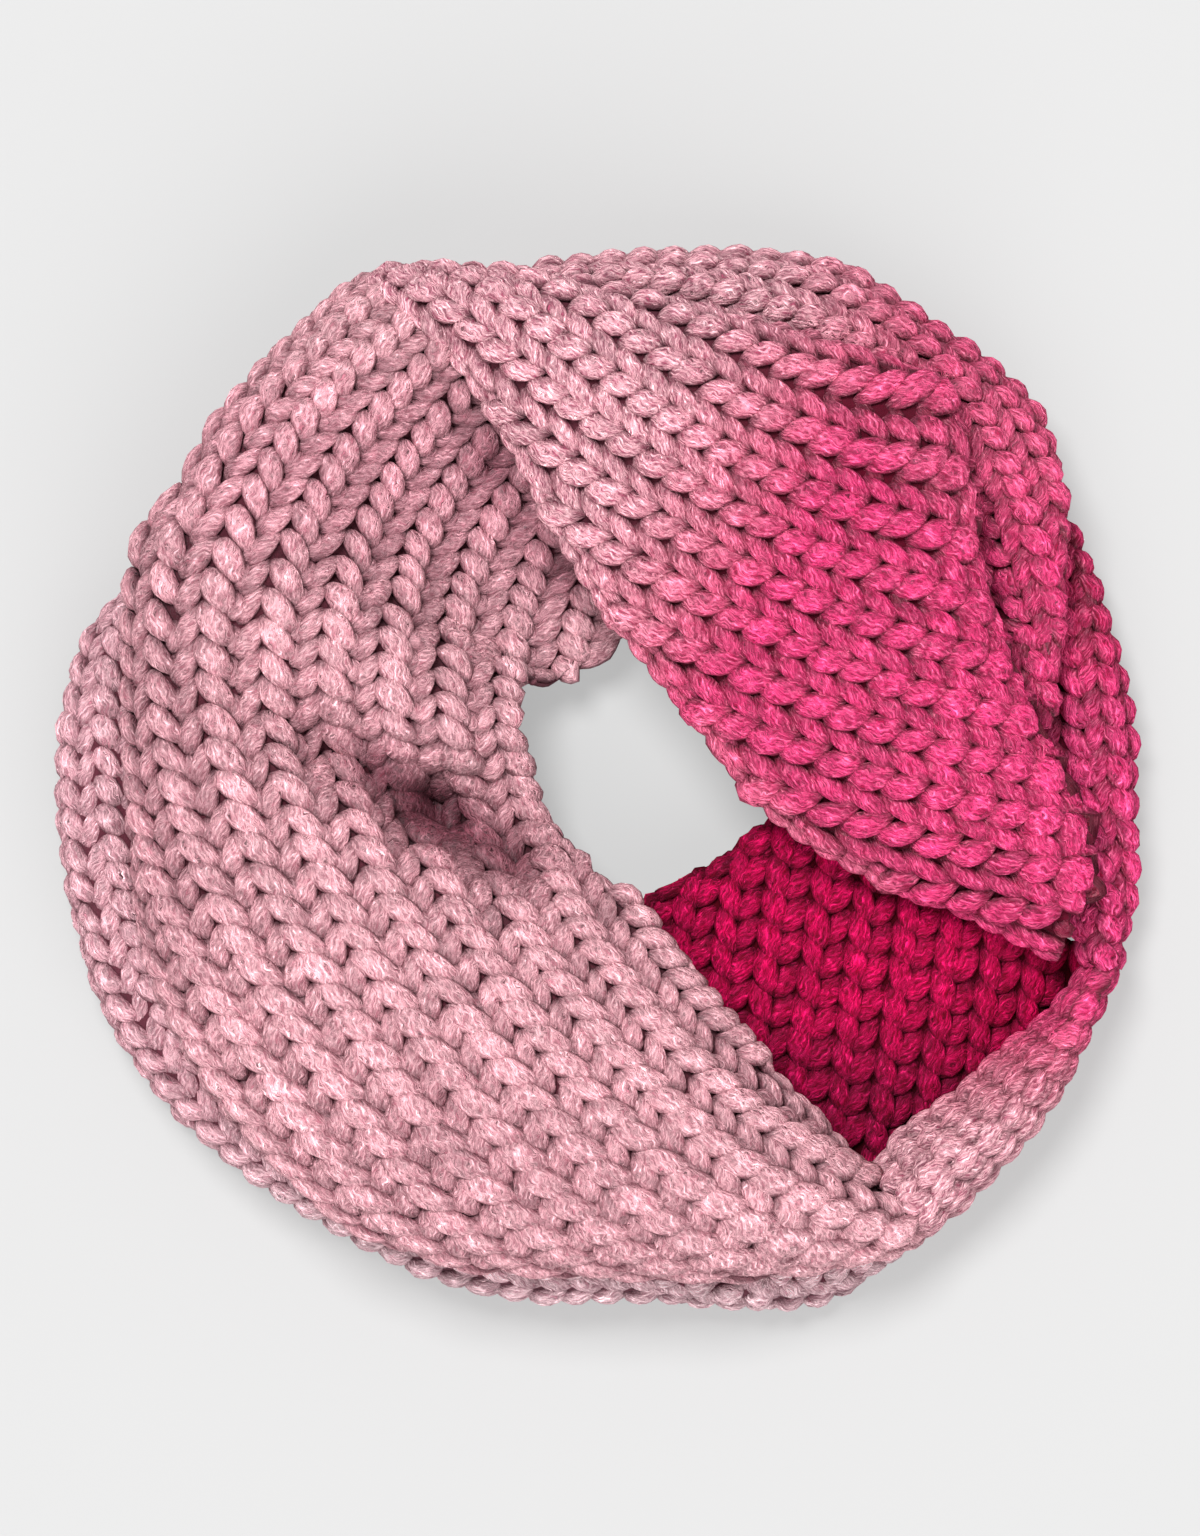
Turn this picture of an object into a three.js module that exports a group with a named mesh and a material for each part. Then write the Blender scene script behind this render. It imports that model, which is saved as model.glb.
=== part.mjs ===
// Chunky knitted infinity scarf, wound twice into a ring and laid down.
// Millimetres, Z up, underside on Z = 0, the ring centred on X = 0, Y = 0.
import * as THREE from "three";

// Driving sizes of the knit
const WALL = 4.6; // plain wall below the furrows
const RIB_RISE = 2.4; // height of a rib above its furrows
const POINTS_PER_RIB = 3; // outer points carried by one rib
const PROFILE_STEPS = 22; // fine steps along each part of a cross-section
const RAD = Math.PI / 180;

// Colours of the yarn as it fades along the loop
const LIGHT_PINK = 0xd99da8;
const SHADED_PINK = 0xc98896;
const DUSTY_PINK = 0xcb97a2;
const FADING_PINK = 0xd4698a;
const ROSE_PINK = 0xd2839a;
const HOT_PINK = 0xca3f6e;
const CRIMSON = 0xab1247;

// A cross-section starts at a point of the inner edge and runs outwards.
// toward is its heading in degrees; the wall rises from edgeZ to the crown,
// rounds over to its widest reach at sideZ, then tucks back under to footZ.
// lag delays the rise: 1 swells at once, 3 keeps a flat floor first.
const COLUMNS = [
  "x",
  "y",
  "toward",
  "edgeZ",
  "lag",
  "crownR",
  "crownZ",
  "reach",
  "sideZ",
  "tuck",
  "footZ",
];

// Upper wrap: rim of the lower right corner, front, left side, upper left
const UPPER_RUN = [
  [170, -66, -5, 25, 1, 8, 44, 14, 26, 6, 4],
  [157.5, -82, -18, 25, 1.2, 10, 52, 18, 28, 8, 4],
  [140, -96, -27, 25, 1.3, 15, 58, 28, 29, 9, 4],
  [122.5, -112, -34, 26, 1.3, 18, 59, 32.5, 29, 10, 4],
  [105, -124, -42, 28, 1.2, 20, 58, 36.5, 31, 12, 8],
  [94.5, -136, -54, 31, 1, 18, 55, 34, 34, 14, 17],
  [77, -119, -87, 46, 0.8, 32, 74, 54, 44, 20, 30],
  [49, -89, -96, 62, 0.8, 54, 90, 88, 56, 28, 44],
  [21, -52, -104, 68, 0.8, 76, 98, 127, 62, 32, 50],
  [0, -34, -115, 66, 0.8, 84, 101, 149, 64, 32, 50],
  [-12, -22, -130, 60, 0.8, 86, 101, 155, 64, 32, 50],
  [-20, -10, -148, 50, 0.8, 88, 98, 153, 64, 30, 50],
  [-25, 4, -168, 46, 0.9, 90, 94, 144, 62, 30, 50],
  [-30, 20, -183, 56, 0.9, 92, 94, 137, 60, 28, 50],
  [-27, 36, -198, 44, 1.2, 108, 94, 144, 60, 28, 50],
  [-14, 35, -206, 30, 2.2, 122, 94, 151, 60, 26, 50],
  [0, 43, -213.5, 28, 2.8, 130, 93, 158, 60, 24, 50],
  [14, 53, -220, 28, 3.2, 136, 90, 159.5, 58, 22, 50],
  [24, 62, -227, 28, 3.2, 124, 82, 155.5, 56, 18, 50],
];

// Crossing stretch: from the upper left rim over the top to the right side
const CROSSING_RUN = [
  [-68.3, 161.9, 133, 79.7, 1, 1, 80, 19.9, 56, 14, 50],
  [-60, 154, 82, 82, 1, 10, 88, 26.5, 68, 15, 58],
  [-51, 144.6, 52, 80, 1, 22, 96, 41.5, 76, 20, 66],
  [-33, 117, 41.5, 77, 0.9, 42, 103, 77, 80, 26, 68],
  [-9, 72, 43, 75, 0.9, 68, 107, 121.7, 82, 32, 68],
  [11, 44, 46.8, 74, 0.9, 78, 108, 139, 82, 34, 68],
  [31.5, 19, 51, 73, 0.9, 82, 108, 148, 80, 36, 68],
  [61, -16, 51.3, 69, 0.9, 64, 103, 116.7, 78, 38, 68],
  [98, -38, 54.8, 60, 0.9, 48, 93, 86.8, 74, 36, 66],
  [122.5, -47, 58.5, 54, 0.9, 36, 84, 68, 70, 30, 62],
  [143.5, -57, 64.4, 50, 0.9, 28, 74, 54.3, 62, 20, 55],
  [160, -65, 68, 48, 0.9, 18, 64, 34, 56, 10, 50],
];

// Outer stretch: from the top centre round to the right, under the crossing
const OUTER_RUN = [
  [-50, 158, 84, 42, 1, 8, 48, 17, 28, 8, 4],
  [-26, 162, 78, 52, 1, 8, 60, 18, 32, 8, 4],
  [10, 158, 81, 56, 1, 12, 64.5, 27, 32, 10, 4],
  [40, 152, 76, 57, 1, 14, 65.4, 34, 32, 12, 4],
  [68, 143, 66, 57, 1, 16, 65.4, 41, 32, 12, 4],
  [92, 128, 52, 57, 1, 18, 65.4, 41, 32, 12, 4],
  [106, 110, 38, 57, 1, 20, 65.4, 49, 32, 12, 5],
  [112, 94, 28, 57, 1, 22, 65, 53, 40, 10, 20],
  [116, 80, 20, 57, 1, 22, 62, 51, 53, 8, 46],
  [122, 62, 12, 56, 1, 20, 60, 43.5, 53, 8, 46],
  [132, 40, 4, 55, 1, 14, 58, 29.5, 53, 7, 46],
  [144, 18, 0, 53, 1, 8, 55, 17, 51, 5, 46],
];

// Side stretch: the outermost right layer, low against the surface
const SIDE_RUN = [
  [140, 86, 6, 32, 1, 10, 34, 26, 19, 8, 4],
  [142, 72, 4, 35, 1, 13, 39, 31.5, 21, 9, 4],
  [144, 60, 3, 36, 1, 15, 41, 33.5, 22, 9, 4],
  [146, 40, 0, 36, 1, 17, 42.2, 37.5, 24, 10, 4],
  [148, 18, -1, 36, 1, 20, 42.2, 39.8, 24, 10, 4],
  [151, -8, -2, 35, 1, 20, 40, 38, 24, 10, 4],
  [157, -32, -4, 32, 1, 16, 38, 32, 24, 10, 4],
  [165, -54, -5, 28, 1, 11, 39, 20.5, 25, 8, 4],
  [169.6, -65.5, -5, 25, 1, 8, 44, 14.2, 26, 6, 4],
];

// Tail: from under the crossing down to the corner, across to the hole
const TAIL_RUN = [
  [166, -60, 155, 24, 1, 82, 40, 116, 34, 6, 27],
  [161, -73.5, 154.5, 20, 1, 82, 40, 123, 34, 6, 27],
  [147.5, -86.5, 156.6, 20, 1, 84, 40, 128.5, 34, 6, 27],
  [130, -101.5, 152.5, 20, 1, 84, 38, 133, 33, 6, 26],
  [113, -115.5, 150, 20, 1, 66, 35, 106, 30, 6, 23],
  [102, -124, 148, 20, 1, 48, 31, 78, 26, 5, 20.5],
  [94, -130.5, 147, 20, 1, 30, 27, 50, 23, 4, 19.5],
  [88, -134.5, 145, 20, 1, 16, 23.5, 26, 21, 2, 19.5],
];

// Creases and humps: a ridge or trough between two points of the plan
const FOLD_COLUMNS = ["x", "y", "x2", "y2", "halfWidth", "rise"];
const UPPER_FOLDS = [
  [-128, 30, -92, 14, 16, -8],
  [-92, 14, -58, -6, 15, -15],
  [-58, -6, -28, -18, 14, -18],
  [-140, 74, -72, 62, 20, 5],
  [-72, 62, -34, 48, 18, 7],
];
const CROSSING_FOLDS = [
  [-20, 128, 60, 60, 16, -3],
  [20, 122, 96, 40, 14, 3],
];
const NO_FOLDS = [];

// Lower wrap: hidden layers in one rounded ring, by angle about its centre
const RING_CENTRE = { x: 8, y: 4 };
const RING_COLUMNS = ["angle", "inner", "shelf", "outer", "innerTop", "outerTop"];
const LOWER_RING = [
  [-178, 42, 90, 197.5, 30, 47.4],
  [-164, 42, 90, 199, 24, 47.4],
  [-154, 42, 90, 200.5, 24, 47.4],
  [-144, 42, 90, 198.5, 28, 47.4],
  [-132, 44, 90, 194.5, 38, 47.4],
  [-121, 46, 90, 190.5, 44, 47.4],
  [-110, 48, 90, 191, 46, 47.4],
  [-99, 52, 90, 189, 46, 47.4],
  [-88, 58, 90, 187, 44, 46],
  [-80, 62, 110, 192, 20, 41],
  [-72, 64, 135, 199, 14, 31],
  [-65, 64, 142, 200, 12, 22],
  [-57, 62, 140, 190, 10, 13.5],
  [-50, 60, 80, 166, 30, 10],
  [-40, 60, 80, 164, 33.4, 13],
  [-28, 62, 80, 160, 33, 14],
  [-16, 68, 80, 152, 28, 14],
  [-6, 62, 110, 144, 14, 14],
  [4, 52, 90, 132, 44, 30],
  [16, 42, 80, 122, 50, 48],
  [30, 38, 80, 124, 50, 48],
  [45, 42, 80, 134, 50, 48],
  [60, 46, 80, 146, 42, 48],
  [75, 50, 100, 156, 19, 48],
  [88, 54, 120, 157, 20, 46],
  [100, 50, 120, 160, 19, 44],
  [114, 48, 120, 166, 19, 43.6],
  [128, 46, 124, 173, 19, 44.4],
  [140, 46, 120, 178, 19, 44.4],
  [152, 52, 112, 179, 22, 45.2],
  [160, 52, 106, 184, 26, 45.2],
  [167, 50, 100, 193.5, 30, 45.6],
];

function named(columns, values) {
  return Object.fromEntries(columns.map((name, i) => [name, values[i]]));
}

// Smooth value of every column at a fractional row of a table
function rowAt(table, position, closed = false) {
  const last = table.length;
  const i = Math.min(Math.floor(position), closed ? last - 1 : last - 2);
  const f = position - i;
  const pick = (k) =>
    closed
      ? table[(k + last) % last]
      : table[Math.max(0, Math.min(last - 1, k))];
  const [a, b, c, d] = [pick(i - 1), pick(i), pick(i + 1), pick(i + 2)];
  return b.map((_, n) => {
    const m1 = (c[n] - a[n]) / 2;
    const m2 = (d[n] - b[n]) / 2;
    const f2 = f * f;
    const f3 = f2 * f;
    return (
      (2 * f3 - 3 * f2 + 1) * b[n] +
      (f3 - 2 * f2 + f) * m1 +
      (3 * f2 - 2 * f3) * c[n] +
      (f3 - f2) * m2
    );
  });
}

// Cross-section as fine points of distance from the edge and height
function profile(row) {
  const points = [];
  const reach = row.reach - RIB_RISE;
  for (let i = 0; i <= PROFILE_STEPS; i++) {
    const t = i / PROFILE_STEPS;
    const swell = 1 - (1 - Math.pow(t, row.lag)) ** 2;
    points.push([row.crownR * t, row.edgeZ + (row.crownZ - row.edgeZ) * swell]);
  }
  for (let i = 1; i <= PROFILE_STEPS; i++) {
    const a = (i / PROFILE_STEPS) * 90 * RAD;
    points.push([
      row.crownR + (reach - row.crownR) * Math.sin(a),
      row.sideZ + (row.crownZ - row.sideZ) * Math.cos(a),
    ]);
  }
  for (let i = 1; i <= PROFILE_STEPS; i++) {
    const a = (i / PROFILE_STEPS) * 90 * RAD;
    points.push([
      reach - row.tuck * (1 - Math.cos(a)),
      row.sideZ - (row.sideZ - row.footZ) * Math.sin(a),
    ]);
  }
  return points;
}

// Lengths along a chain of points
function lengths(points) {
  const sums = [0];
  for (let i = 1; i < points.length; i++) {
    const step = Math.hypot(...points[i].map((v, k) => v - points[i - 1][k]));
    sums.push(sums[i - 1] + step);
  }
  return sums;
}

// Point at a share of the length of a chain
function alongChain(points, sums, share) {
  const target = share * sums[sums.length - 1];
  let i = 1;
  while (i < sums.length - 1 && sums[i] < target) i++;
  const f = (target - sums[i - 1]) / (sums[i] - sums[i - 1]);
  return points[i].map((v, k) => points[i - 1][k] + (v - points[i - 1][k]) * f);
}

// Height added by the creases and humps at a point of the plan
function foldRise(folds, x, y) {
  return folds
    .map((values) => named(FOLD_COLUMNS, values))
    .reduce((sum, fold) => {
      const dx = fold.x2 - fold.x;
      const dy = fold.y2 - fold.y;
      const along = ((x - fold.x) * dx + (y - fold.y) * dy) / (dx * dx + dy * dy);
      const t = Math.max(0, Math.min(1, along));
      const off = Math.hypot(x - fold.x - dx * t, y - fold.y - dy * t);
      return sum + fold.rise * Math.exp(-((off / fold.halfWidth) ** 2));
    }, 0);
}

// Smooth furrow surface of a stretch: position along the table, share across
function surface(stretch) {
  const cache = new Map();
  const section = (u) => {
    if (!cache.has(u)) {
      const row = named(COLUMNS, rowAt(stretch.table, u));
      const points = profile(row);
      cache.set(u, { row, points, sums: lengths(points) });
    }
    return cache.get(u);
  };
  return (u, v) => {
    const { row, points, sums } = section(u);
    const [r, z] = alongChain(points, sums, v);
    const x = row.x + r * Math.cos(row.toward * RAD);
    const y = row.y + r * Math.sin(row.toward * RAD);
    const upper = THREE.MathUtils.clamp((z - row.sideZ) / 12, 0, 1);
    const open = r < row.crownR ? 1 : upper;
    return new THREE.Vector3(x, y, z + open * foldRise(stretch.folds, x, y));
  };
}

// Row positions spaced evenly along the crown of the stretch
function evenRows(at, from, to, rows) {
  const FINE = 160;
  const marks = Array.from({ length: FINE + 1 }, (_, i) => from + ((to - from) * i) / FINE);
  const crown = marks.map((u) => at(u, 0.4).toArray());
  const sums = lengths(crown);
  const chain = marks.map((u) => [u]);
  return Array.from({ length: rows + 1 }, (_, i) => alongChain(chain, sums, i / rows)[0]);
}

// Outward direction of the smooth surface
function outward(at, u, v, limit) {
  const D = 0.02;
  const u1 = Math.max(0, u - D);
  const u2 = Math.min(limit, u + D);
  const v1 = Math.max(0, v - D / 2);
  const v2 = Math.min(1, v + D / 2);
  const along = at(u2, v).sub(at(u1, v));
  const across = at(u, v2).sub(at(u, v1));
  return along.cross(across).normalize();
}

// Level direction square to a cross-section, for flush ends at the seams
function sectionAxis(stretch, u) {
  const turn = named(COLUMNS, rowAt(stretch.table, u)).toward * RAD;
  return new THREE.Vector3(-Math.sin(turn), Math.cos(turn), 0);
}

// Closed wall of a stretch, ribbed outside and plain inside
function ribbedWall(stretch) {
  const at = surface(stretch);
  const limit = stretch.table.length - 1;
  const columns = stretch.ribs * POINTS_PER_RIB;
  const us = evenRows(at, stretch.from, stretch.to, stretch.rows);
  const outer = [];
  const inner = [];
  us.forEach((u, i) => {
    for (let j = 0; j <= columns; j++) {
      const v = j / columns;
      const base = at(u, v);
      const normal = outward(at, u, v, limit).multiplyScalar(stretch.facing ?? 1);
      if (i === 0 || i === us.length - 1) normal.projectOnPlane(sectionAxis(stretch, u)).normalize();
      const lift = j % POINTS_PER_RIB === 0 ? 0 : RIB_RISE;
      outer.push(base.clone().addScaledVector(normal, lift));
      inner.push(base.clone().addScaledVector(normal, -WALL));
    }
  });
  return closedSheet(outer, inner, us.length, columns + 1);
}

// Joins two grids of points into one closed body
function closedSheet(outer, inner, rows, columns) {
  const shift = outer.length;
  const faces = [];
  const quad = (a, b, c, d) => faces.push(a, b, c, a, c, d);
  for (let i = 0; i < rows - 1; i++) {
    for (let j = 0; j < columns - 1; j++) {
      const a = i * columns + j;
      quad(a, a + 1, a + columns + 1, a + columns);
      quad(shift + a, shift + a + columns, shift + a + columns + 1, shift + a + 1);
    }
    const first = i * columns;
    const last = first + columns - 1;
    quad(first, first + columns, shift + first + columns, shift + first);
    quad(last, shift + last, shift + last + columns, last + columns);
  }
  const end = (rows - 1) * columns;
  for (let j = 0; j < columns - 1; j++) {
    quad(j, shift + j, shift + j + 1, j + 1);
    quad(end + j, end + j + 1, shift + end + j + 1, shift + end + j);
  }
  return facingOut([...outer, ...inner], faces);
}

// Indexed geometry, its faces turned so the volume is positive
function facingOut(points, faces) {
  let volume = 0;
  for (let i = 0; i < faces.length; i += 3) {
    const [a, b, c] = [0, 1, 2].map((k) => points[faces[i + k]]);
    volume += a.dot(b.clone().cross(c));
  }
  if (volume < 0) {
    for (let i = 0; i < faces.length; i += 3) {
      [faces[i + 1], faces[i + 2]] = [faces[i + 2], faces[i + 1]];
    }
  }
  const geometry = new THREE.BufferGeometry();
  geometry.setAttribute(
    "position",
    new THREE.Float32BufferAttribute(points.flatMap((p) => p.toArray()), 3),
  );
  geometry.setIndex(faces);
  geometry.computeVertexNormals();
  return geometry;
}

// Cross-section of the lower ring: flat below, two soft layers at its flank
function ringProfile(row) {
  const { inner, shelf, outer, innerTop, outerTop } = row;
  const lipR = Math.min(7, innerTop * 0.4);
  const flank = [
    [-27, 1],
    [-15, 1.04],
    [-6, 0.99],
    [-1, 0.82],
    [-1.5, 0.63],
    [-5, 0.5],
    [-1.2, 0.37],
    [0, 0.21],
    [-2, 0.07],
    [-6, 0],
  ];
  return [
    [inner + 5, 0],
    [inner + 1, innerTop * 0.12],
    [inner, innerTop * 0.4],
    [inner + lipR * 0.3, innerTop * 0.85],
    [inner + lipR, innerTop],
    [(inner + lipR + shelf) / 2, innerTop],
    [shelf, innerTop],
    [shelf + (outer - 27 - shelf) * 0.5, (innerTop + outerTop) / 2],
    ...flank.map(([r, share]) => [outer + r, outerTop * share]),
  ];
}

// Solid ring of the hidden layers
function lowerRing() {
  const perRow = 2;
  const count = LOWER_RING.length * perRow;
  const rows = LOWER_RING.map((row, i) => {
    const next = LOWER_RING[(i + 1) % LOWER_RING.length];
    return { row, turn: next[0] < row[0] ? 360 : 0 };
  });
  const sections = Array.from({ length: count }, (_, k) => {
    const position = k / perRow;
    const i = Math.floor(position);
    const f = position - i;
    const values = rowAt(LOWER_RING, position, true);
    const next = LOWER_RING[(i + 1) % LOWER_RING.length][0] + rows[i].turn;
    values[0] = rows[i].row[0] + (next - rows[i].row[0]) * f;
    return named(RING_COLUMNS, values);
  });
  const points = [];
  sections.forEach((row) => {
    ringProfile(row).forEach(([r, z]) => {
      const x = RING_CENTRE.x + r * Math.cos(row.angle * RAD);
      const y = RING_CENTRE.y + r * Math.sin(row.angle * RAD);
      points.push(new THREE.Vector3(x, y, Math.max(0, z)));
    });
  });
  const size = points.length / count;
  const faces = [];
  for (let i = 0; i < count; i++) {
    const a = i * size;
    const b = ((i + 1) % count) * size;
    for (let j = 0; j < size; j++) {
      const k = (j + 1) % size;
      faces.push(a + j, b + j, b + k, a + j, b + k, a + k);
    }
  }
  return facingOut(points, faces);
}

function knitMesh(name, geometry, colour) {
  const material = new THREE.MeshStandardMaterial({
    color: colour,
    roughness: 0.95,
    metalness: 0,
  });
  const mesh = new THREE.Mesh(geometry, material);
  mesh.name = name;
  return mesh;
}

const STRETCHES = [
  { name: "corner_rim", colour: ROSE_PINK, table: UPPER_RUN, from: 0, to: 4.98,
    rows: 10, ribs: 5, folds: UPPER_FOLDS },
  { name: "front", colour: LIGHT_PINK, table: UPPER_RUN, from: 5.02, to: 13.96,
    rows: 24, ribs: 11, folds: UPPER_FOLDS },
  { name: "left_inner", colour: SHADED_PINK, table: UPPER_RUN, from: 14.04, to: 18,
    rows: 9, ribs: 11, folds: UPPER_FOLDS },
  { name: "crossing", colour: FADING_PINK, table: CROSSING_RUN, from: 0, to: 11,
    rows: 24, ribs: 10, folds: CROSSING_FOLDS },
  { name: "outer_right", colour: ROSE_PINK, table: OUTER_RUN, from: 0, to: 11,
    rows: 21, ribs: 4, folds: NO_FOLDS },
  { name: "side_right", colour: HOT_PINK, table: SIDE_RUN, from: 0, to: 8,
    rows: 12, ribs: 4, folds: NO_FOLDS },
  { name: "tail", colour: CRIMSON, table: TAIL_RUN, from: 0, to: 7,
    rows: 11, ribs: 7, folds: NO_FOLDS, facing: -1 },
];

const scarf = new THREE.Group();
scarf.name = "infinity_scarf";
scarf.add(knitMesh("lower_wrap", lowerRing(), DUSTY_PINK));
STRETCHES.forEach((stretch) => {
  scarf.add(knitMesh(stretch.name, ribbedWall(stretch), stretch.colour));
});

// The origin sits under the middle of the ring
const extent = new THREE.Box3().setFromObject(scarf);
const middle = extent.getCenter(new THREE.Vector3());
scarf.position.set(-middle.x, -middle.y, -extent.min.z);

export default scarf;
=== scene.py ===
# Chunky knitted infinity scarf, wound twice into a ring and laid down.
import math

import bpy
import numpy as np
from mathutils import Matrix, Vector
from mathutils.bvhtree import BVHTree


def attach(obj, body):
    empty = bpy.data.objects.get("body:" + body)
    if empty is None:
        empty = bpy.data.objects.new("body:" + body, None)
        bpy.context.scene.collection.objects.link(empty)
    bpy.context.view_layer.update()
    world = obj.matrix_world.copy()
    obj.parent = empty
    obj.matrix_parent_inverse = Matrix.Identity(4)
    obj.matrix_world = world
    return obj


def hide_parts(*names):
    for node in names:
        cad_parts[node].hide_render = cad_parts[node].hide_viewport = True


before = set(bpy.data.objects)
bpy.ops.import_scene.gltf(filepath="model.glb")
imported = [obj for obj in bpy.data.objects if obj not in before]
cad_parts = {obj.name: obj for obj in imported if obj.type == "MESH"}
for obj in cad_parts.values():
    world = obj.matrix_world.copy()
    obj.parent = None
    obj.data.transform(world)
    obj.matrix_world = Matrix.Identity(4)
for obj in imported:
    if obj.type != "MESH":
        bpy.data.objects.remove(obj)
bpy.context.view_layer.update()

MM = 0.001
SHIFT = (0.15, 0.3)  # how far the part was moved from its tables to centre it, mm
PROFILE_STEPS = 22  # fine steps along each part of a cross-section
RIB_RISE = 2.4  # height of a rib above its furrows, mm
FOLD_FADE = 12  # folds die out down to the widest reach over this height, mm
GRID_ROWS = 7  # points along a stretch for each row of its table
GRID_COLUMNS = 170  # points across a stretch
SHELL_ROWS = 60  # points along and across the cloth of a stretch
SHELL_COLUMNS = 72
END_GAP = 0.02  # share of a table row by which cloth stops short of its neighbour
CLOTH_TOP = -3.4  # top and underside of the cloth from the surface of the knit, mm
CLOTH_BOTTOM = -4.8
TINY = 1e-9
NO_AREA = 1e-12

# A cross-section starts at x, y on the inner edge and runs outwards at the heading
# toward, in degrees. It rises from edgeZ to the crown, rounds over to its widest reach
# at sideZ and tucks back under to footZ. lag delays the rise: 1 swells at once.
# Columns: x, y, toward, edgeZ, lag, crownR, crownZ, reach, sideZ, tuck, footZ
UPPER_RUN = [
    [170, -66, -5, 25, 1, 8, 44, 14, 26, 6, 4],
    [157.5, -82, -18, 25, 1.2, 10, 52, 18, 28, 8, 4],
    [140, -96, -27, 25, 1.3, 15, 58, 28, 29, 9, 4],
    [122.5, -112, -34, 26, 1.3, 18, 59, 32.5, 29, 10, 4],
    [105, -124, -42, 28, 1.2, 20, 58, 36.5, 31, 12, 8],
    [94.5, -136, -54, 31, 1, 18, 55, 34, 34, 14, 17],
    [77, -119, -87, 46, 0.8, 32, 74, 54, 44, 20, 30],
    [49, -89, -96, 62, 0.8, 54, 90, 88, 56, 28, 44],
    [21, -52, -104, 68, 0.8, 76, 98, 127, 62, 32, 50],
    [0, -34, -115, 66, 0.8, 84, 101, 149, 64, 32, 50],
    [-12, -22, -130, 60, 0.8, 86, 101, 155, 64, 32, 50],
    [-20, -10, -148, 50, 0.8, 88, 98, 153, 64, 30, 50],
    [-25, 4, -168, 46, 0.9, 90, 94, 144, 62, 30, 50],
    [-30, 20, -183, 56, 0.9, 92, 94, 137, 60, 28, 50],
    [-27, 36, -198, 44, 1.2, 108, 94, 144, 60, 28, 50],
    [-14, 35, -206, 30, 2.2, 122, 94, 151, 60, 26, 50],
    [0, 43, -213.5, 28, 2.8, 130, 93, 158, 60, 24, 50],
    [14, 53, -220, 28, 3.2, 136, 90, 159.5, 58, 22, 50],
    [24, 62, -227, 28, 3.2, 124, 82, 155.5, 56, 18, 50],
    [36, 70, -233, 30, 3.0, 104, 68, 132, 54, 14, 50],
]
CROSSING_RUN = [
    [-68.3, 161.9, 133, 79.7, 1, 1, 80, 19.9, 56, 14, 50],
    [-60, 154, 82, 82, 1, 10, 88, 26.5, 68, 15, 58],
    [-51, 144.6, 52, 80, 1, 22, 96, 41.5, 76, 20, 66],
    [-33, 117, 41.5, 77, 0.9, 42, 103, 77, 80, 26, 68],
    [-9, 72, 43, 75, 0.9, 68, 107, 121.7, 82, 32, 68],
    [11, 44, 46.8, 74, 0.9, 78, 108, 139, 82, 34, 68],
    [31.5, 19, 51, 73, 0.9, 82, 108, 148, 80, 36, 68],
    [61, -16, 51.3, 69, 0.9, 64, 103, 116.7, 78, 38, 68],
    [98, -38, 54.8, 60, 0.9, 48, 93, 86.8, 74, 36, 66],
    [122.5, -47, 58.5, 54, 0.9, 36, 84, 68, 70, 30, 62],
    [143.5, -57, 64.4, 50, 0.9, 28, 74, 54.3, 62, 20, 55],
    [160, -65, 68, 48, 0.9, 18, 64, 34, 56, 10, 50],
]
OUTER_RUN = [
    [-54, 156, 84, 42, 1, 4, 46, 8, 28, 4, 4],
    [-26, 162, 78, 52, 1, 8, 60, 18, 32, 8, 4],
    [10, 158, 81, 56, 1, 12, 64.5, 27, 32, 10, 4],
    [40, 152, 76, 57, 1, 14, 65.4, 34, 32, 12, 4],
    [68, 143, 66, 57, 1, 16, 65.4, 41, 32, 12, 4],
    [92, 128, 52, 57, 1, 18, 65.4, 41, 32, 12, 4],
    [106, 110, 38, 57, 1, 20, 65.4, 49, 32, 12, 5],
    [112, 94, 28, 57, 1, 22, 65, 53, 40, 10, 20],
    [116, 80, 20, 57, 1, 22, 62, 51, 53, 8, 46],
    [122, 62, 12, 56, 1, 20, 60, 43.5, 53, 8, 46],
    [132, 40, 4, 55, 1, 14, 58, 29.5, 53, 7, 46],
    [144, 18, 0, 53, 1, 8, 55, 17, 51, 5, 46],
]
SIDE_RUN = [
    [130, 114, 22, 27, 1, 8, 30, 20, 17, 8, 4],
    [137, 100, 14, 30, 1, 10, 33, 24, 19, 8, 4],
    [140, 86, 6, 32, 1, 10, 34, 26, 19, 8, 4],
    [142, 72, 4, 35, 1, 13, 39, 31.5, 21, 9, 4],
    [144, 60, 3, 36, 1, 15, 41, 33.5, 22, 9, 4],
    [146, 40, 0, 36, 1, 17, 42.2, 37.5, 24, 10, 4],
    [148, 18, -1, 36, 1, 20, 42.2, 39.8, 24, 10, 4],
    [151, -8, -2, 35, 1, 20, 40, 38, 24, 10, 4],
    [157, -32, -4, 32, 1, 16, 38, 32, 24, 10, 4],
    [165, -54, -5, 28, 1, 11, 39, 20.5, 25, 8, 4],
    [169.6, -65.5, -5, 25, 1, 8, 44, 14.2, 26, 6, 4],
]
TAIL_RUN = [
    [171.5, -62.5, 155, 24, 1, 88, 40, 122, 34, 6, 27],
    [167, -76.5, 154.5, 20, 1, 88.5, 40, 129.5, 34, 6, 27],
    [154, -89.5, 156.6, 20, 1, 91, 40, 135.5, 34, 6, 27],
    [139.8, -107, 152.5, 20, 1, 94, 38, 141, 33, 6, 26],
    [122.3, -120.8, 150, 20, 1, 76, 35, 116, 30, 6, 23],
    [110, -129.5, 148, 20, 1, 56, 31, 87, 26, 5, 20.5],
    [103, -137.5, 147, 21, 1, 40, 27, 61, 23, 4, 19.5],
    [97, -142.5, 145, 21, 1, 26, 24.5, 38, 21, 2, 19.5],
]

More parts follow.
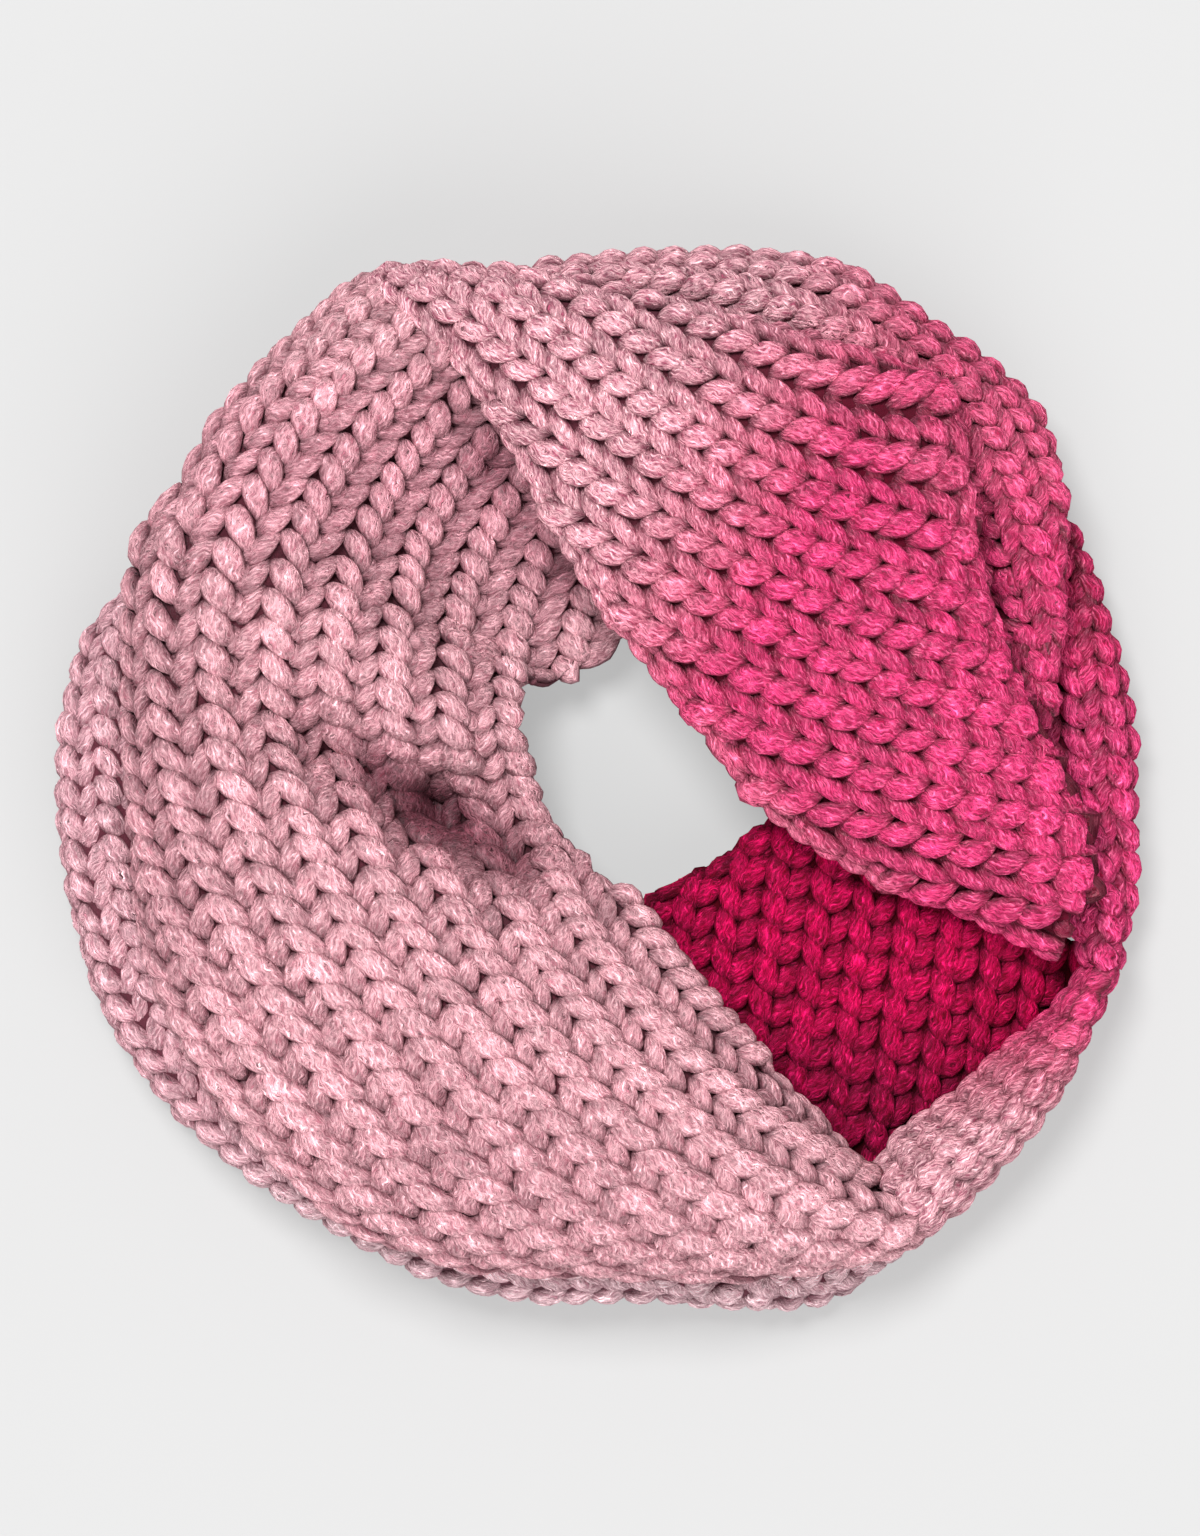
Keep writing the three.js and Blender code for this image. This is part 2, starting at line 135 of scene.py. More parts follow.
# Creases and humps: x, y, x2, y2, half width, rise
UPPER_FOLDS = [
    [-128, 30, -92, 14, 16, -8],
    [-92, 14, -58, -6, 15, -15],
    [-58, -6, -28, -18, 14, -18],
    [-140, 74, -72, 62, 20, 5],
    [-72, 62, -34, 48, 18, 7],
]
CREASES = [
    [-122, 24, -94, 8, 11, -3],
    [-92, 12, -72, 0, 12, 4],
    [-94, 6, -62, -15, 9, -9],
    [-62, -15, -32, -32, 9, -17],
    [-104, 34, -40, 10, 14, 5],
]
OUTER_FOLDS = [
    [122, 110, 133, 92, 5, -6],
    [133, 92, 139, 69, 5, -8],
    [139, 69, 160, 29, 5, -8],
]
SIDE_FOLDS = [
    [167, 90, 164, 64, 5, -6],
    [164, 64, 162, 30, 5, -7],
    [162, 30, 166, 5, 5, -6],
]
CROSSING_FOLDS = [
    [-20, 128, 60, 60, 16, -3],
    [20, 122, 96, 40, 14, 3],
]

# Hidden layers as one ring: angle, inner, shelf, outer, innerTop, outerTop
RING_CENTRE = (8, 4)
LOWER_RING = [
    [-178, 42, 90, 197.5, 30, 47.4],
    [-164, 42, 90, 199, 24, 47.4],
    [-154, 42, 90, 200.5, 24, 47.4],
    [-144, 42, 90, 198.5, 28, 47.4],
    [-132, 44, 90, 194.5, 38, 47.4],
    [-121, 46, 90, 190.5, 44, 47.4],
    [-110, 48, 90, 191, 46, 47.4],
    [-99, 52, 90, 189, 46, 47.4],
    [-88, 58, 90, 187, 44, 46],
    [-80, 62, 110, 192, 20, 41],
    [-72, 64, 135, 199, 14, 31],
    [-65, 64, 142, 200, 12, 22],
    [-57, 62, 140, 190, 10, 13.5],
    [-50, 60, 80, 166, 30, 10],
    [-40, 60, 80, 164, 33.4, 13],
    [-28, 62, 80, 160, 33, 14],
    [-16, 68, 80, 152, 28, 14],
    [-6, 62, 110, 144, 14, 14],
    [4, 52, 90, 132, 44, 30],
    [16, 42, 80, 122, 50, 48],
    [30, 38, 80, 124, 50, 48],
    [45, 42, 80, 134, 50, 48],
    [60, 46, 80, 146, 42, 48],
    [75, 50, 100, 156, 19, 48],
    [88, 54, 120, 157, 20, 46],
    [100, 50, 120, 160, 19, 44],
    [114, 48, 120, 166, 19, 43.6],
    [128, 46, 124, 173, 19, 44.4],
    [140, 46, 120, 178, 19, 44.4],
    [152, 52, 112, 179, 22, 45.2],
    [160, 52, 106, 184, 26, 45.2],
    [167, 50, 100, 193.5, 30, 45.6],
]

# Painted shade: where the yarn is coloured darker, in folds, beside the crossing's edge and at the
# flank: x, y, x2, y2, half width, share
SHADES = [
    [-106, 25, -78, 2, 10, 0.26],
    [-78, 2, -58, -12, 11, 0.58],
    [-58, -13, -30, -29, 12, 0.80],
    [-158, 60, -160, -60, 30, 0.20],
    [-70, -128, 20, -150, 26, 0.17],
    [-56, 138, -38, 110, 9, 0.32],
    [-38, 110, -14, 72, 10, 0.42],
    [-14, 72, 4, 48, 8, 0.30],
]
# Where the crossing's edge at the hole stays paler, in the same columns
PALE_EDGE = [
    [36, 14, 61, -17, 7, 0.22],
    [61, -17, 98, -39, 6, 0.22],
]

# Lie of the knit in plan: a place in mm, the heading of the rib there in degrees and
# the row height along it in mm, the heading of the row and the distance between ribs
UPPER_KNIT = [
    [60, -150, 152, 12, 24, 21],
    [-20, -150, 136, 13, 6, 21],
    [-65, -150, 136, 13, 2, 21],
    [15, -115, 132, 11, 20, 19],
    [55, -90, 120, 11, 18, 18],
    [-45, -112, 125, 12, 5, 21],
    [-120, -92, 122, 12, 0, 21],
    [-15, -72, 132, 11, 5, 19],
    [-85, -70, 117, 11, 2, 21],
    [-160, -53, 112, 12, -5, 21],
    [-104, -34, 118, 11, 3, 21],
    [-25, -34, 134, 9, 0, 18],
    [-140, 6, 108, 11, -5, 21],
    [-84, -14, 128, 10, -4, 21],
    [-160, 25, 102, 11, -7, 18],
    [-84, 25, 80, 10, -14, 21],
    [-45, 25, 76, 11, -9, 20],
    [-122, 64, 85, 11, -12, 20],
    [-64, 64, 72, 11, -11, 21],
    [-143, 84, 82, 10, -13, 18],
    [-84, 104, 50, 8, -40, 17],
    [-45, 104, 45, 9, -37, 17],
    [-104, 123, 45, 9, -42, 18],
    [-64, 143, 48, 10, -38, 17],
]
CROSSING_KNIT = [
    [-25, 160, -36, 11, -117, 16],
    [34, 143, -35, 11, -113, 18],
    [112, 143, -32, 11, -120, 17],
    [-5, 104, -33, 12, -115, 18],
    [73, 104, -24, 10, -110, 19],
    [34, 64, -33, 12, -116, 16],
    [92, 84, -15, 10, -108, 18],
    [112, 64, -16, 12, -102, 18],
    [53, 25, -21, 12, -111, 17],
    [132, 45, -18, 12, -105, 17],
    [73, 6, -17, 13, -100, 18],
    [112, 6, -14, 13, -101, 17],
    [151, 6, -15, 12, -98, 16],
    [132, -14, -14, 13, -97, 17],
    [151, -34, -13, 12, -94, 16],
    [112, -34, -16, 13, -100, 17],
]
TAIL_KNIT = [
    [55, -53, -108, 10, 169, 15],
    [92, -53, -97, 12, 161, 17],
    [73, -73, -92, 11, 163, 15],
    [112, -73, -98, 12, 159, 17],
    [92, -92, -96, 12, 162, 16],
]


def yarn(hexcode):
    """Linear colour of a hex code."""
    channels = [int(hexcode[i : i + 2], 16) / 255 for i in (0, 2, 4)]
    return np.array([c / 12.92 if c <= 0.04045 else ((c + 0.055) / 1.055) ** 2.4 for c in channels])


# Yarn colours as they fade along the loop; the shaded pink, the tail's deepest red and the wine red are
# painted shade, and the cream is painted light
PALE = yarn("f2b9c1")
SHADED = yarn("ecadb8")
DUSTY = yarn("efbbc4")
HOT = yarn("e8387c")
CRIMSON = yarn("be0049")
# painted shade: the crimson as it looks where the tail sinks under the rim
TAIL_SHADE = yarn("96003a")
# painted shade of the folds, the flank and the crossing's overhang
FOLD_SHADE = yarn("76223e")
# painted light: a paler dusty pink for the front of the ring, which lies in shade
LIT_DUSTY = yarn("ffd9df")
GROUND_SHADE_SHARE = np.array([0.09, 0.035, 0.05])  # painted shade: red, green and blue of the yarn's colour left on the cloth inside the knit


def smooth(low, high, value):
    """Soft step from 0 at low to 1 at high."""
    t = np.clip((value - low) / (high - low), 0, 1)
    return t * t * (3 - 2 * t)


def unit(vectors):
    return vectors / np.maximum(np.linalg.norm(vectors, axis=-1, keepdims=True), TINY)


def mix(a, b, t):
    return a + (b - a) * np.asarray(t)[..., None]


def side_of(x, y, x1, y1, x2, y2):
    """Distance of a point to the left of the line from 1 to 2, mm."""
    dx, dy = x2 - x1, y2 - y1
    return (dx * (y - y1) - dy * (x - x1)) / math.hypot(dx, dy)


def shaded_ground_colour(colour):
    """Painted shade: deeper and redder than the strands, for the cloth that shows in the gaps inside a
    thick knit.
    """
    return colour * GROUND_SHADE_SHARE


def upper_colour(x, y):
    # painted shade: the yarn turns to the shaded pink on the loop's inner side, where it lies in shade
    inside = smooth(-10, 40, side_of(x, y, -140, 70, 0, 50))
    inside = inside * smooth(-175, -120, x) * smooth(160, 115, y)
    # painted shade in folds, at the flank and beside the crossing's edge, as a share of the wine red
    shade_share = np.clip(fold_rise(SHADES, x, y), 0, 0.9)
    return mix(mix(PALE, SHADED, inside), FOLD_SHADE, shade_share)


def crossing_colour(x, y):
    fade = smooth(-38, 48, -side_of(x, y, 33.9, 102.9, 57.7, 144.9))
    rim = smooth(-20, -4, side_of(x, y, 70, 158, 131, 97))
    edge = np.clip(fold_rise(PALE_EDGE, x, y), 0, 0.3)
    return mix(PALE, HOT, fade * (1 - 0.10 * rim) * (1 - edge))


def outer_colour(x, y):
    return mix(PALE, HOT, 0.85 * smooth(52, 125, x) + 0.15 * smooth(130, 70, y) * smooth(52, 95, x))


def side_colour(x, y):
    return mix(HOT, CRIMSON, smooth(20, 50, y) * 0.45)


def tail_colour(x, y):
    # painted shade: the crimson darkens towards the tail's low end, where it sinks under the rim
    return mix(CRIMSON, TAIL_SHADE, smooth(-78, -112, y))


def rim_colour(x, y):
    return mix(PALE, HOT, smooth(-132, -80, y))


def lower_colour(x, y):
    right = smooth(70, 120, x) * smooth(-165, -110, y) + smooth(60, 110, x) * smooth(-170, -150, y) * 0.4
    # painted light: the dusty yarn turns paler towards the front of the ring, to make up for the shade
    # under the front's flank
    return mix(mix(DUSTY, LIT_DUSTY, smooth(-110, -165, y)), HOT, np.clip(right, 0, 1))


def rows_at(table, positions, closed=False):
    """Smooth values of every column at fractional rows of a table."""
    table = np.array(table, float)
    count = len(table)
    positions = np.asarray(positions, float)
    i = np.clip(np.floor(positions).astype(int), 0, count - 1 if closed else count - 2)
    f = (positions - i)[:, None]

    def pick(k):
        return table[k % count] if closed else table[np.clip(k, 0, count - 1)]

    a, b, c, d = pick(i - 1), pick(i), pick(i + 1), pick(i + 2)
    m1, m2 = (c - a) / 2, (d - b) / 2
    return (
        (2 * f**3 - 3 * f**2 + 1) * b
        + (f**3 - 2 * f**2 + f) * m1
        + (3 * f**2 - 2 * f**3) * c
        + (f**3 - f**2) * m2
    )


def fold_rise(folds, x, y):
    """Sum of soft ridges or troughs, each along a line between two points of the plan."""
    total = np.zeros_like(x)
    for x1, y1, x2, y2, half_width, rise in folds:
        dx, dy = x2 - x1, y2 - y1
        t = np.clip(((x - x1) * dx + (y - y1) * dy) / (dx * dx + dy * dy), 0, 1)
        off = np.hypot(x - x1 - dx * t, y - y1 - dy * t)
        total += rise * np.exp(-((off / half_width) ** 2))
    return total


def wall_grid(run, folds, start, end, rows, columns, facing=1):
    """Smooth surface of a stretch as grids of points, normals and lengths across."""
    us = np.linspace(start, end, rows)
    x, y, toward, edge_z, lag, crown_r, crown_z, reach, side_z, tuck, foot_z = (
        column[:, None] for column in rows_at(run, us).T
    )
    reach = reach - RIB_RISE
    t = np.linspace(0, 1, PROFILE_STEPS + 1)[None, :]
    quarter = np.linspace(0, math.pi / 2, PROFILE_STEPS + 1)[None, 1:]
    swell = 1 - (1 - t**lag) ** 2
    r = np.concatenate(
        [
            crown_r * t,
            crown_r + (reach - crown_r) * np.sin(quarter),
            reach - tuck * (1 - np.cos(quarter)),
        ],
        axis=1,
    )
    z = np.concatenate(
        [
            edge_z + (crown_z - edge_z) * swell,
            side_z + (crown_z - side_z) * np.cos(quarter),
            side_z - (side_z - foot_z) * np.sin(quarter),
        ],
        axis=1,
    )
    step = np.hypot(np.diff(r, axis=1), np.diff(z, axis=1))
    arc = np.concatenate([np.zeros((rows, 1)), np.cumsum(step, axis=1)], axis=1)
    crown = arc[:, PROFILE_STEPS : PROFILE_STEPS + 1]
    plan = np.where(np.arange(r.shape[1])[None, :] <= PROFILE_STEPS, r, crown_r + arc - crown)
    share = np.linspace(0, 1, columns)

    def pick(values):
        return np.array([np.interp(share * arc[k, -1], arc[k], values[k]) for k in range(rows)])

    r_at, z_at, s_at, arc_at = pick(r), pick(z), pick(plan), pick(arc)
    angle = np.radians(toward)
    px, py = x + r_at * np.cos(angle), y + r_at * np.sin(angle)
    upper = np.clip((z_at - side_z) / FOLD_FADE, 0, 1)
    z_at = z_at + np.where(r_at < crown_r, 1, upper) * fold_rise(folds, px, py)
    points = np.stack([px, py, z_at], axis=-1)
    along, across = np.gradient(points, axis=0), np.gradient(points, axis=1)
    normal = unit(np.cross(along, across)) * facing
    flat = np.stack([x + s_at * np.cos(angle), y + s_at * np.sin(angle)], axis=-1)
    return {
        "points": points,
        "normals": normal,
        "flat": flat,
        "arc": arc_at,
        "us": np.repeat(us[:, None], columns, axis=1),
        "upper": z_at > side_z,
    }


# Inner foot and flank of the lower ring: mm outwards from it, share of its height there
RING_FOOT = [(5, 0), (1, 0.12), (0, 0.4)]
RING_FLANK = [
    (-27, 1), (-15, 1.04), (-6, 0.99), (-1, 0.82), (-1.5, 0.63),
    (-5, 0.5), (-1.2, 0.37), (0, 0.21), (-2, 0.07), (-6, 0),
]
RING_LIP = 7  # how far the inner edge is rounded, mm
RING_LIP_TURN = (0.3, 0.85)  # shares of the lip's reach and height at its turn
RING_SMOOTHINGS = 3
FLANK_POINTS = (7, 17)  # first and last point of the outline that the stitches cover


def ring_outline(rows):
    """Cross-sections of the lower ring: flat below, two soft layers at its flank."""
    _, inner, shelf, outer, inner_top, outer_top = (c[:, None] for c in rows.T)
    lip = np.minimum(RING_LIP, inner_top * 0.4)
    turn_reach, turn_height = RING_LIP_TURN
    flank_start = outer + RING_FLANK[0][0]
    r = [
        *[inner + off for off, _ in RING_FOOT], inner + lip * turn_reach, inner + lip,
        (inner + lip + shelf) / 2, shelf, (shelf + flank_start) / 2,
        *[outer + off for off, _ in RING_FLANK],
    ]
    z = [
        *[inner_top * part for _, part in RING_FOOT], inner_top * turn_height, inner_top,
        inner_top, inner_top, (inner_top + outer_top) / 2,
        *[outer_top * part for _, part in RING_FLANK],
    ]
    return np.concatenate(r, axis=1), np.concatenate(z, axis=1)


def ring_grid(rows, columns, first, last):
    """Surface of the lower ring between two points of its outline, as grids."""
    table = [list(row) for row in LOWER_RING]
    position = np.linspace(0, len(table), rows)
    sections = rows_at(table, np.minimum(position, len(table) - 1e-6), closed=True)
    angles = [row[0] for row in table] + [table[0][0] + 360]
    angle = np.radians(np.interp(position, range(len(angles)), angles))[:, None]
    r, z = ring_outline(sections)
    r, z = r[:, first : last + 1], np.maximum(z[:, first : last + 1], 0)
    step = np.hypot(np.diff(r, axis=1), np.diff(z, axis=1))
    arc = np.concatenate([np.zeros((rows, 1)), np.cumsum(step, axis=1)], axis=1)
    knots = arc / arc[:, -1:]
    share = np.linspace(0, 1, columns)

    def pick(values):
        return np.array([np.interp(share, knots[k], values[k]) for k in range(rows)])

    r_at, z_at, arc_at = pick(r), pick(z), pick(arc)
    for _ in range(RING_SMOOTHINGS):
        r_at[:, 1:-1] = (r_at[:, :-2] + 2 * r_at[:, 1:-1] + r_at[:, 2:]) / 4
        z_at[:, 1:-1] = (z_at[:, :-2] + 2 * z_at[:, 1:-1] + z_at[:, 2:]) / 4
    points = np.stack(
        [RING_CENTRE[0] + r_at * np.cos(angle), RING_CENTRE[1] + r_at * np.sin(angle), z_at],
        axis=-1,
    )
    # the loop runs clockwise, so the grid is turned to run the same way
    points, arc_at = points[::-1], arc_at[::-1]
    along, across = np.gradient(points, axis=0), np.gradient(points, axis=1)
    return {"points": points, "normals": unit(np.cross(along, across)), "arc": arc_at}


class Finder:
    """Looks up values of a grid by a pair of flat coordinates."""

    def __init__(self, coords, values, mask=None):
        rows, columns = coords.shape[:2]
        index = np.arange(rows * columns).reshape(rows, columns)
        a, b, c, d = index[:-1, :-1], index[1:, :-1], index[1:, 1:], index[:-1, 1:]
        keep = np.ones(a.shape, bool)
        if mask is not None:
            keep = mask[:-1, :-1] & mask[1:, :-1] & mask[1:, 1:] & mask[:-1, 1:]
        a, b, c, d = a[keep], b[keep], c[keep], d[keep]
        self.faces = np.concatenate([np.stack([a, b, c], -1), np.stack([a, c, d], -1)])
        self.coords = coords.reshape(-1, 2)
        self.values = values.reshape(rows * columns, -1)
        flat = np.concatenate([self.coords, np.zeros((len(self.coords), 1))], axis=1)
        self.tree = BVHTree.FromPolygons(flat.tolist(), self.faces.tolist())

    def find(self, queries):
        """Values at many places, and how far outside the grid each place is."""
        queries = np.asarray(queries, float).reshape(-1, 2)
        faces = np.zeros(len(queries), int)
        spots = np.zeros((len(queries), 2))
        away = np.zeros(len(queries))
        for k, (x, y) in enumerate(queries):
            spot, _, face, distance = self.tree.find_nearest((x, y, 0))
            faces[k], spots[k], away[k] = face, (spot.x, spot.y), distance
        tri = self.faces[faces]
        p0, p1, p2 = (self.coords[tri[:, k]] for k in range(3))
        e1, e2, e = p1 - p0, p2 - p0, spots - p0
        area = e1[:, 0] * e2[:, 1] - e1[:, 1] * e2[:, 0]
        area = np.where(np.abs(area) < NO_AREA, NO_AREA, area)
        w1 = (e[:, 0] * e2[:, 1] - e[:, 1] * e2[:, 0]) / area
        w2 = (e1[:, 0] * e[:, 1] - e1[:, 1] * e[:, 0]) / area
        w1, w2 = np.clip(w1, 0, 1), np.clip(w2, 0, 1)
        v = self.values
        mixed = v[tri[:, 0]] * (1 - w1 - w2)[:, None] + v[tri[:, 1]] * w1[:, None]
        return mixed + v[tri[:, 2]] * w2[:, None], away


FLANK_TURN = 0.72  # share across, past which a fitted chart runs on evenly
FLANK_SPAN = 6  # grid columns that give its slope there
OFF_GRID = 0.5  # a fitted step counts while its ends are this near to the grid, mm
PLAN_SCALE = 100  # keeps the powers of places in mm near 1


def powers(xy, degree):
    """Every product of powers of x and y up to a degree."""
    x, y = xy[..., 0] / PLAN_SCALE, xy[..., 1] / PLAN_SCALE
    return np.stack(
        [x**i * y**j for i in range(degree + 1) for j in range(degree + 1 - i)], axis=-1
    )


def knit_chart(grid, table, degree):
    """Row and rib number at every point of a grid, fitted to a table of the knit's lie."""
    sites = np.array(table, float)
    finder = Finder(grid["points"][..., :2], grid["flat"], grid["upper"])
    left, unit_rows, unit_ribs = [], [], []
    for heading_at, is_row in ((2, 1), (4, 0)):
        heading = np.radians(sites[:, heading_at])
        step = sites[:, heading_at + 1, None]
        half = step / 2 * np.stack([np.cos(heading), np.sin(heading)], axis=-1)
        ahead, off1 = finder.find(sites[:, :2] + half)
        behind, off2 = finder.find(sites[:, :2] - half)
        good = (off1 < OFF_GRID) & (off2 < OFF_GRID)
        left.append(powers(ahead, degree)[good] - powers(behind, degree)[good])
        unit_rows.append(np.full(good.sum(), is_row))
        unit_ribs.append(np.full(good.sum(), 1 - is_row))
    left = np.concatenate(left)[:, 1:]
    row_terms = np.linalg.lstsq(left, np.concatenate(unit_rows), rcond=None)[0]
    rib_terms = np.linalg.lstsq(left, np.concatenate(unit_ribs), rcond=None)[0]
    basis = powers(grid["flat"], degree)[..., 1:]
    chart = np.stack([basis @ row_terms, basis @ rib_terms], axis=-1)
    # past the turn of the flank both numbers run on evenly
    k = int(FLANK_TURN * chart.shape[1])
    back = k - FLANK_SPAN
    slope = (chart[:, k] - chart[:, back]) / (grid["arc"][:, k] - grid["arc"][:, back])[:, None]
    past = (grid["arc"][:, k:] - grid["arc"][:, k : k + 1])[..., None]
    chart[:, k:] = chart[:, k : k + 1] + slope[:, None, :] * past
    return chart


def plain_chart(grid, row_pitch, rib_pitch):
    """Rows counted along the stretch at its middle, ribs by length across."""
    middle = (grid["points"].shape[1] - 1) // 2
    step = np.linalg.norm(np.diff(grid["points"][:, middle], axis=0), axis=1)
    rows = np.concatenate([[0], np.cumsum(step)]) / row_pitch
    rows = np.repeat(rows[:, None], grid["arc"].shape[1], axis=1)
    return np.stack([rows, -grid["arc"] / rib_pitch], axis=-1)


# One stitch of the rib: each strand of yarn by place across the rib, place along it and
# height in mm, half its thickness in mm at a row of 11 mm and how much wider it is
STRANDS = [
    {"path": [(0.08, -0.30, -2.6), (0.19, 0.40, -0.5), (0.40, 1.22, -3.2)], "thick": 3.4, "wide": 1.16},
    {"path": [(0.40, 1.22, -3.2), (0.64, 0.78, 0.0), (0.99, 0.10, -2.0)], "thick": 3.6, "wide": 1.36},
    {"path": [(0.95, 0.70, -2.6), (1.03, 0.28, -1.0), (0.93, -0.16, -2.6)], "thick": 3.0, "wide": 1.12},
]
CROSSING_STRANDS = [
    {"path": [(0.16, -0.32, -2.4), (0.27, 0.42, -0.6), (0.48, 1.22, -3.0)], "thick": 3.1, "wide": 1.22},
    {"path": [(0.99, -0.20, -2.3), (0.76, 0.48, -0.2), (0.48, 1.24, -3.0)], "thick": 3.5, "wide": 1.32},
    {"path": [(1.00, -0.16, -2.6), (1.08, 0.14, -1.3), (1.05, 0.44, -2.6)], "thick": 3.0, "wide": 1.12},
]
TAIL_STRANDS = [
    {"path": [(0.12, -0.22, -2.7), (0.26, 0.45, -0.5), (0.48, 1.12, -2.5)], "thick": 3.4, "wide": 1.28},
    {"path": [(0.90, -0.22, -2.7), (0.74, 0.45, -0.5), (0.53, 1.12, -2.5)], "thick": 3.4, "wide": 1.28},
    {"path": [(0.98, -0.10, -4.6), (1.02, 0.30, -3.8), (1.03, 0.70, -4.6)], "thick": 2.4, "wide": 1.0},
]
RIM_STRANDS = [
    {"path": [(0.10, -0.25, -2.4), (0.26, 0.45, -0.8), (0.50, 1.15, -2.4)], "thick": 3.0, "wide": 1.30},
    {"path": [(0.90, -0.25, -2.4), (0.74, 0.45, -0.8), (0.50, 1.15, -2.4)], "thick": 3.0, "wide": 1.30},
]
STRAND_ROW = 11  # height of row that the strands are drawn for, mm
RINGS = 7  # points along a strand and round it
SIDES = 8
END_THICKNESS = 0.30  # thickness of a strand where it ends, as a share of its middle
PLUMPNESS = 0.7  # below 1 keeps a strand thick for longer
TIP_REACH = 0.6  # how far its tip stands out, in radii
SHADE_RANGE = (-0.35, 0.70)  # painted shade: a strand's colour brightens round its side from its foot to its top
END_SHADE = 0.10  # light left where a strand dips under the next one
END_FALL = 0.55
DEEP_SHARE = np.array([0.24, 0.11, 0.15])  # red, green and blue left in full shade
HEAT_RANGE = (0.50, 0.95)  # from pale pink to the strong colours
HEAT_FALL = 0.45  # how much faster strong colours fall off into the folds
FIBRE_SPREAD = 900  # each strand starts at its own place of the fibre pattern, mm
CHAIN_PITCH = 10.5  # length of a stitch of an edge chain, mm
CHAIN_OVERLAP = 0.15  # share of it by which the stitch passes each neighbour
CHAIN_ARCH = 1.4  # how far the ends of the stitch dip, mm
FURROW = 1.08  # where the dark furrow runs across one rib
FURROW_POWER = 6  # a high power keeps the furrow narrow
EDGE_TRIM = 0.012  # how far past the chart's edge a stitch may have its middle
# How unevenly the stitches lie: along and across in shares of a stitch, height in mm,
# thickness and tint in shares
WANDER_ALONG = 0.035
WANDER_ACROSS = 0.018
WANDER_UP = 0.25
WANDER_THICK = 0.06
TINT_SPREAD = 0.075
TINT_RANGE = (0.80, 1.18)
WIDEST_STITCH = 2.3  # how much wider a strand gets where rows are stretched
ROW_SAMPLE = 0.25  # rows to either side over which the row's height is measured
STRAND_LENGTHS = (3, 60)  # shorter or longer strands are left out, mm
rng = np.random.default_rng(24)


def strand_mesh(name, spines, normals, thick, wide, tints, shadow, colour_of):
    """Joined mesh of plump strands swept along spines of RINGS points each, mm."""
    count = len(spines)
    tangent = unit(np.gradient(spines, axis=1))
    binormal = unit(np.cross(tangent, normals))
    up = np.cross(binormal, tangent)
    t = np.linspace(0, 1, RINGS)
    shape = END_THICKNESS + (1 - END_THICKNESS) * np.sin(np.pi * t) ** PLUMPNESS
    radius = thick[:, None] * shape[None, :]
    angle = np.linspace(0, 2 * math.pi, SIDES, endpoint=False)
    ring = (
        binormal[:, :, None, :] * (np.cos(angle)[None, None, :, None] * wide[:, None, None, None])
        + up[:, :, None, :] * np.sin(angle)[None, None, :, None]
    )
    points = spines[:, :, None, :] + ring * radius[:, :, None, None]
    tips = np.stack(
        [
            spines[:, 0] - tangent[:, 0] * radius[:, :1] * TIP_REACH,
            spines[:, -1] + tangent[:, -1] * radius[:, -1:] * TIP_REACH,
        ],
        axis=1,
    )
    per = RINGS * SIDES + 2
    verts = np.concatenate([points.reshape(count, -1, 3), tips], axis=1)
    faces = []
    for i in range(RINGS - 1):
        for j in range(SIDES):
            k = (j + 1) % SIDES
            a, b = i * SIDES + j, i * SIDES + k
            faces.append((a, b, b + SIDES, a + SIDES))
    caps = []
    for j in range(SIDES):
        k = (j + 1) % SIDES
        caps.append((RINGS * SIDES, k, j))
        last = (RINGS - 1) * SIDES
        caps.append((RINGS * SIDES + 1, last + j, last + k))
    start = (np.arange(count) * per)[:, None, None]
    quads = (np.array(faces)[None] + start).reshape(-1, 4)
    tris = (np.array(caps)[None] + start).reshape(-1, 3)
    # place along the strand and round it, for the twist of the yarn
    length = np.linalg.norm(np.diff(spines, axis=1), axis=-1).sum(axis=1)
    own = rng.uniform(0, FIBRE_SPREAD, count)
    along = (t[None, :, None] * length[:, None, None]).repeat(SIDES, axis=2) + own[:, None, None]
    around = np.tile((angle / (2 * math.pi))[None, None, :], (count, RINGS, 1))
    ends = np.stack([np.zeros(count), length], axis=1) + own[:, None]
    uv = np.stack(
        [
            np.concatenate([along.reshape(count, -1), ends], axis=1),
            np.concatenate([around.reshape(count, -1), np.full((count, 2), 0.25)], axis=1),
        ],
        axis=-1,
    )
    # painted shade in the colours of the strands: darker at their feet, at their ends and in the furrows
    shade = np.tile(smooth(*SHADE_RANGE, np.sin(angle))[None, None, :], (count, RINGS, 1))
    shade = shade * (END_SHADE + (1 - END_SHADE) * np.sin(np.pi * t) ** END_FALL)[None, :, None]
    shade = shade * (1 - shadow)[:, :, None]
    shade = np.concatenate([shade.reshape(count, -1), np.zeros((count, 2))], axis=1)[..., None]
    yarns = colour_of(verts[..., 0], verts[..., 1])
    # painted shade: strong colours fall off faster into the folds than pale ones
    heat = smooth(*HEAT_RANGE, 1 - yarns[..., 1:2] / yarns[..., :1])
    lit = DEEP_SHARE + (1 - DEEP_SHARE) * shade ** (1 + HEAT_FALL * heat)
    colours = yarns * tints[:, None, None] * lit
    return build(name, verts.reshape(-1, 3), quads, tris, colours.reshape(-1, 3), uv.reshape(-1, 2))


NO_TRIANGLES = np.zeros((0, 3), int)


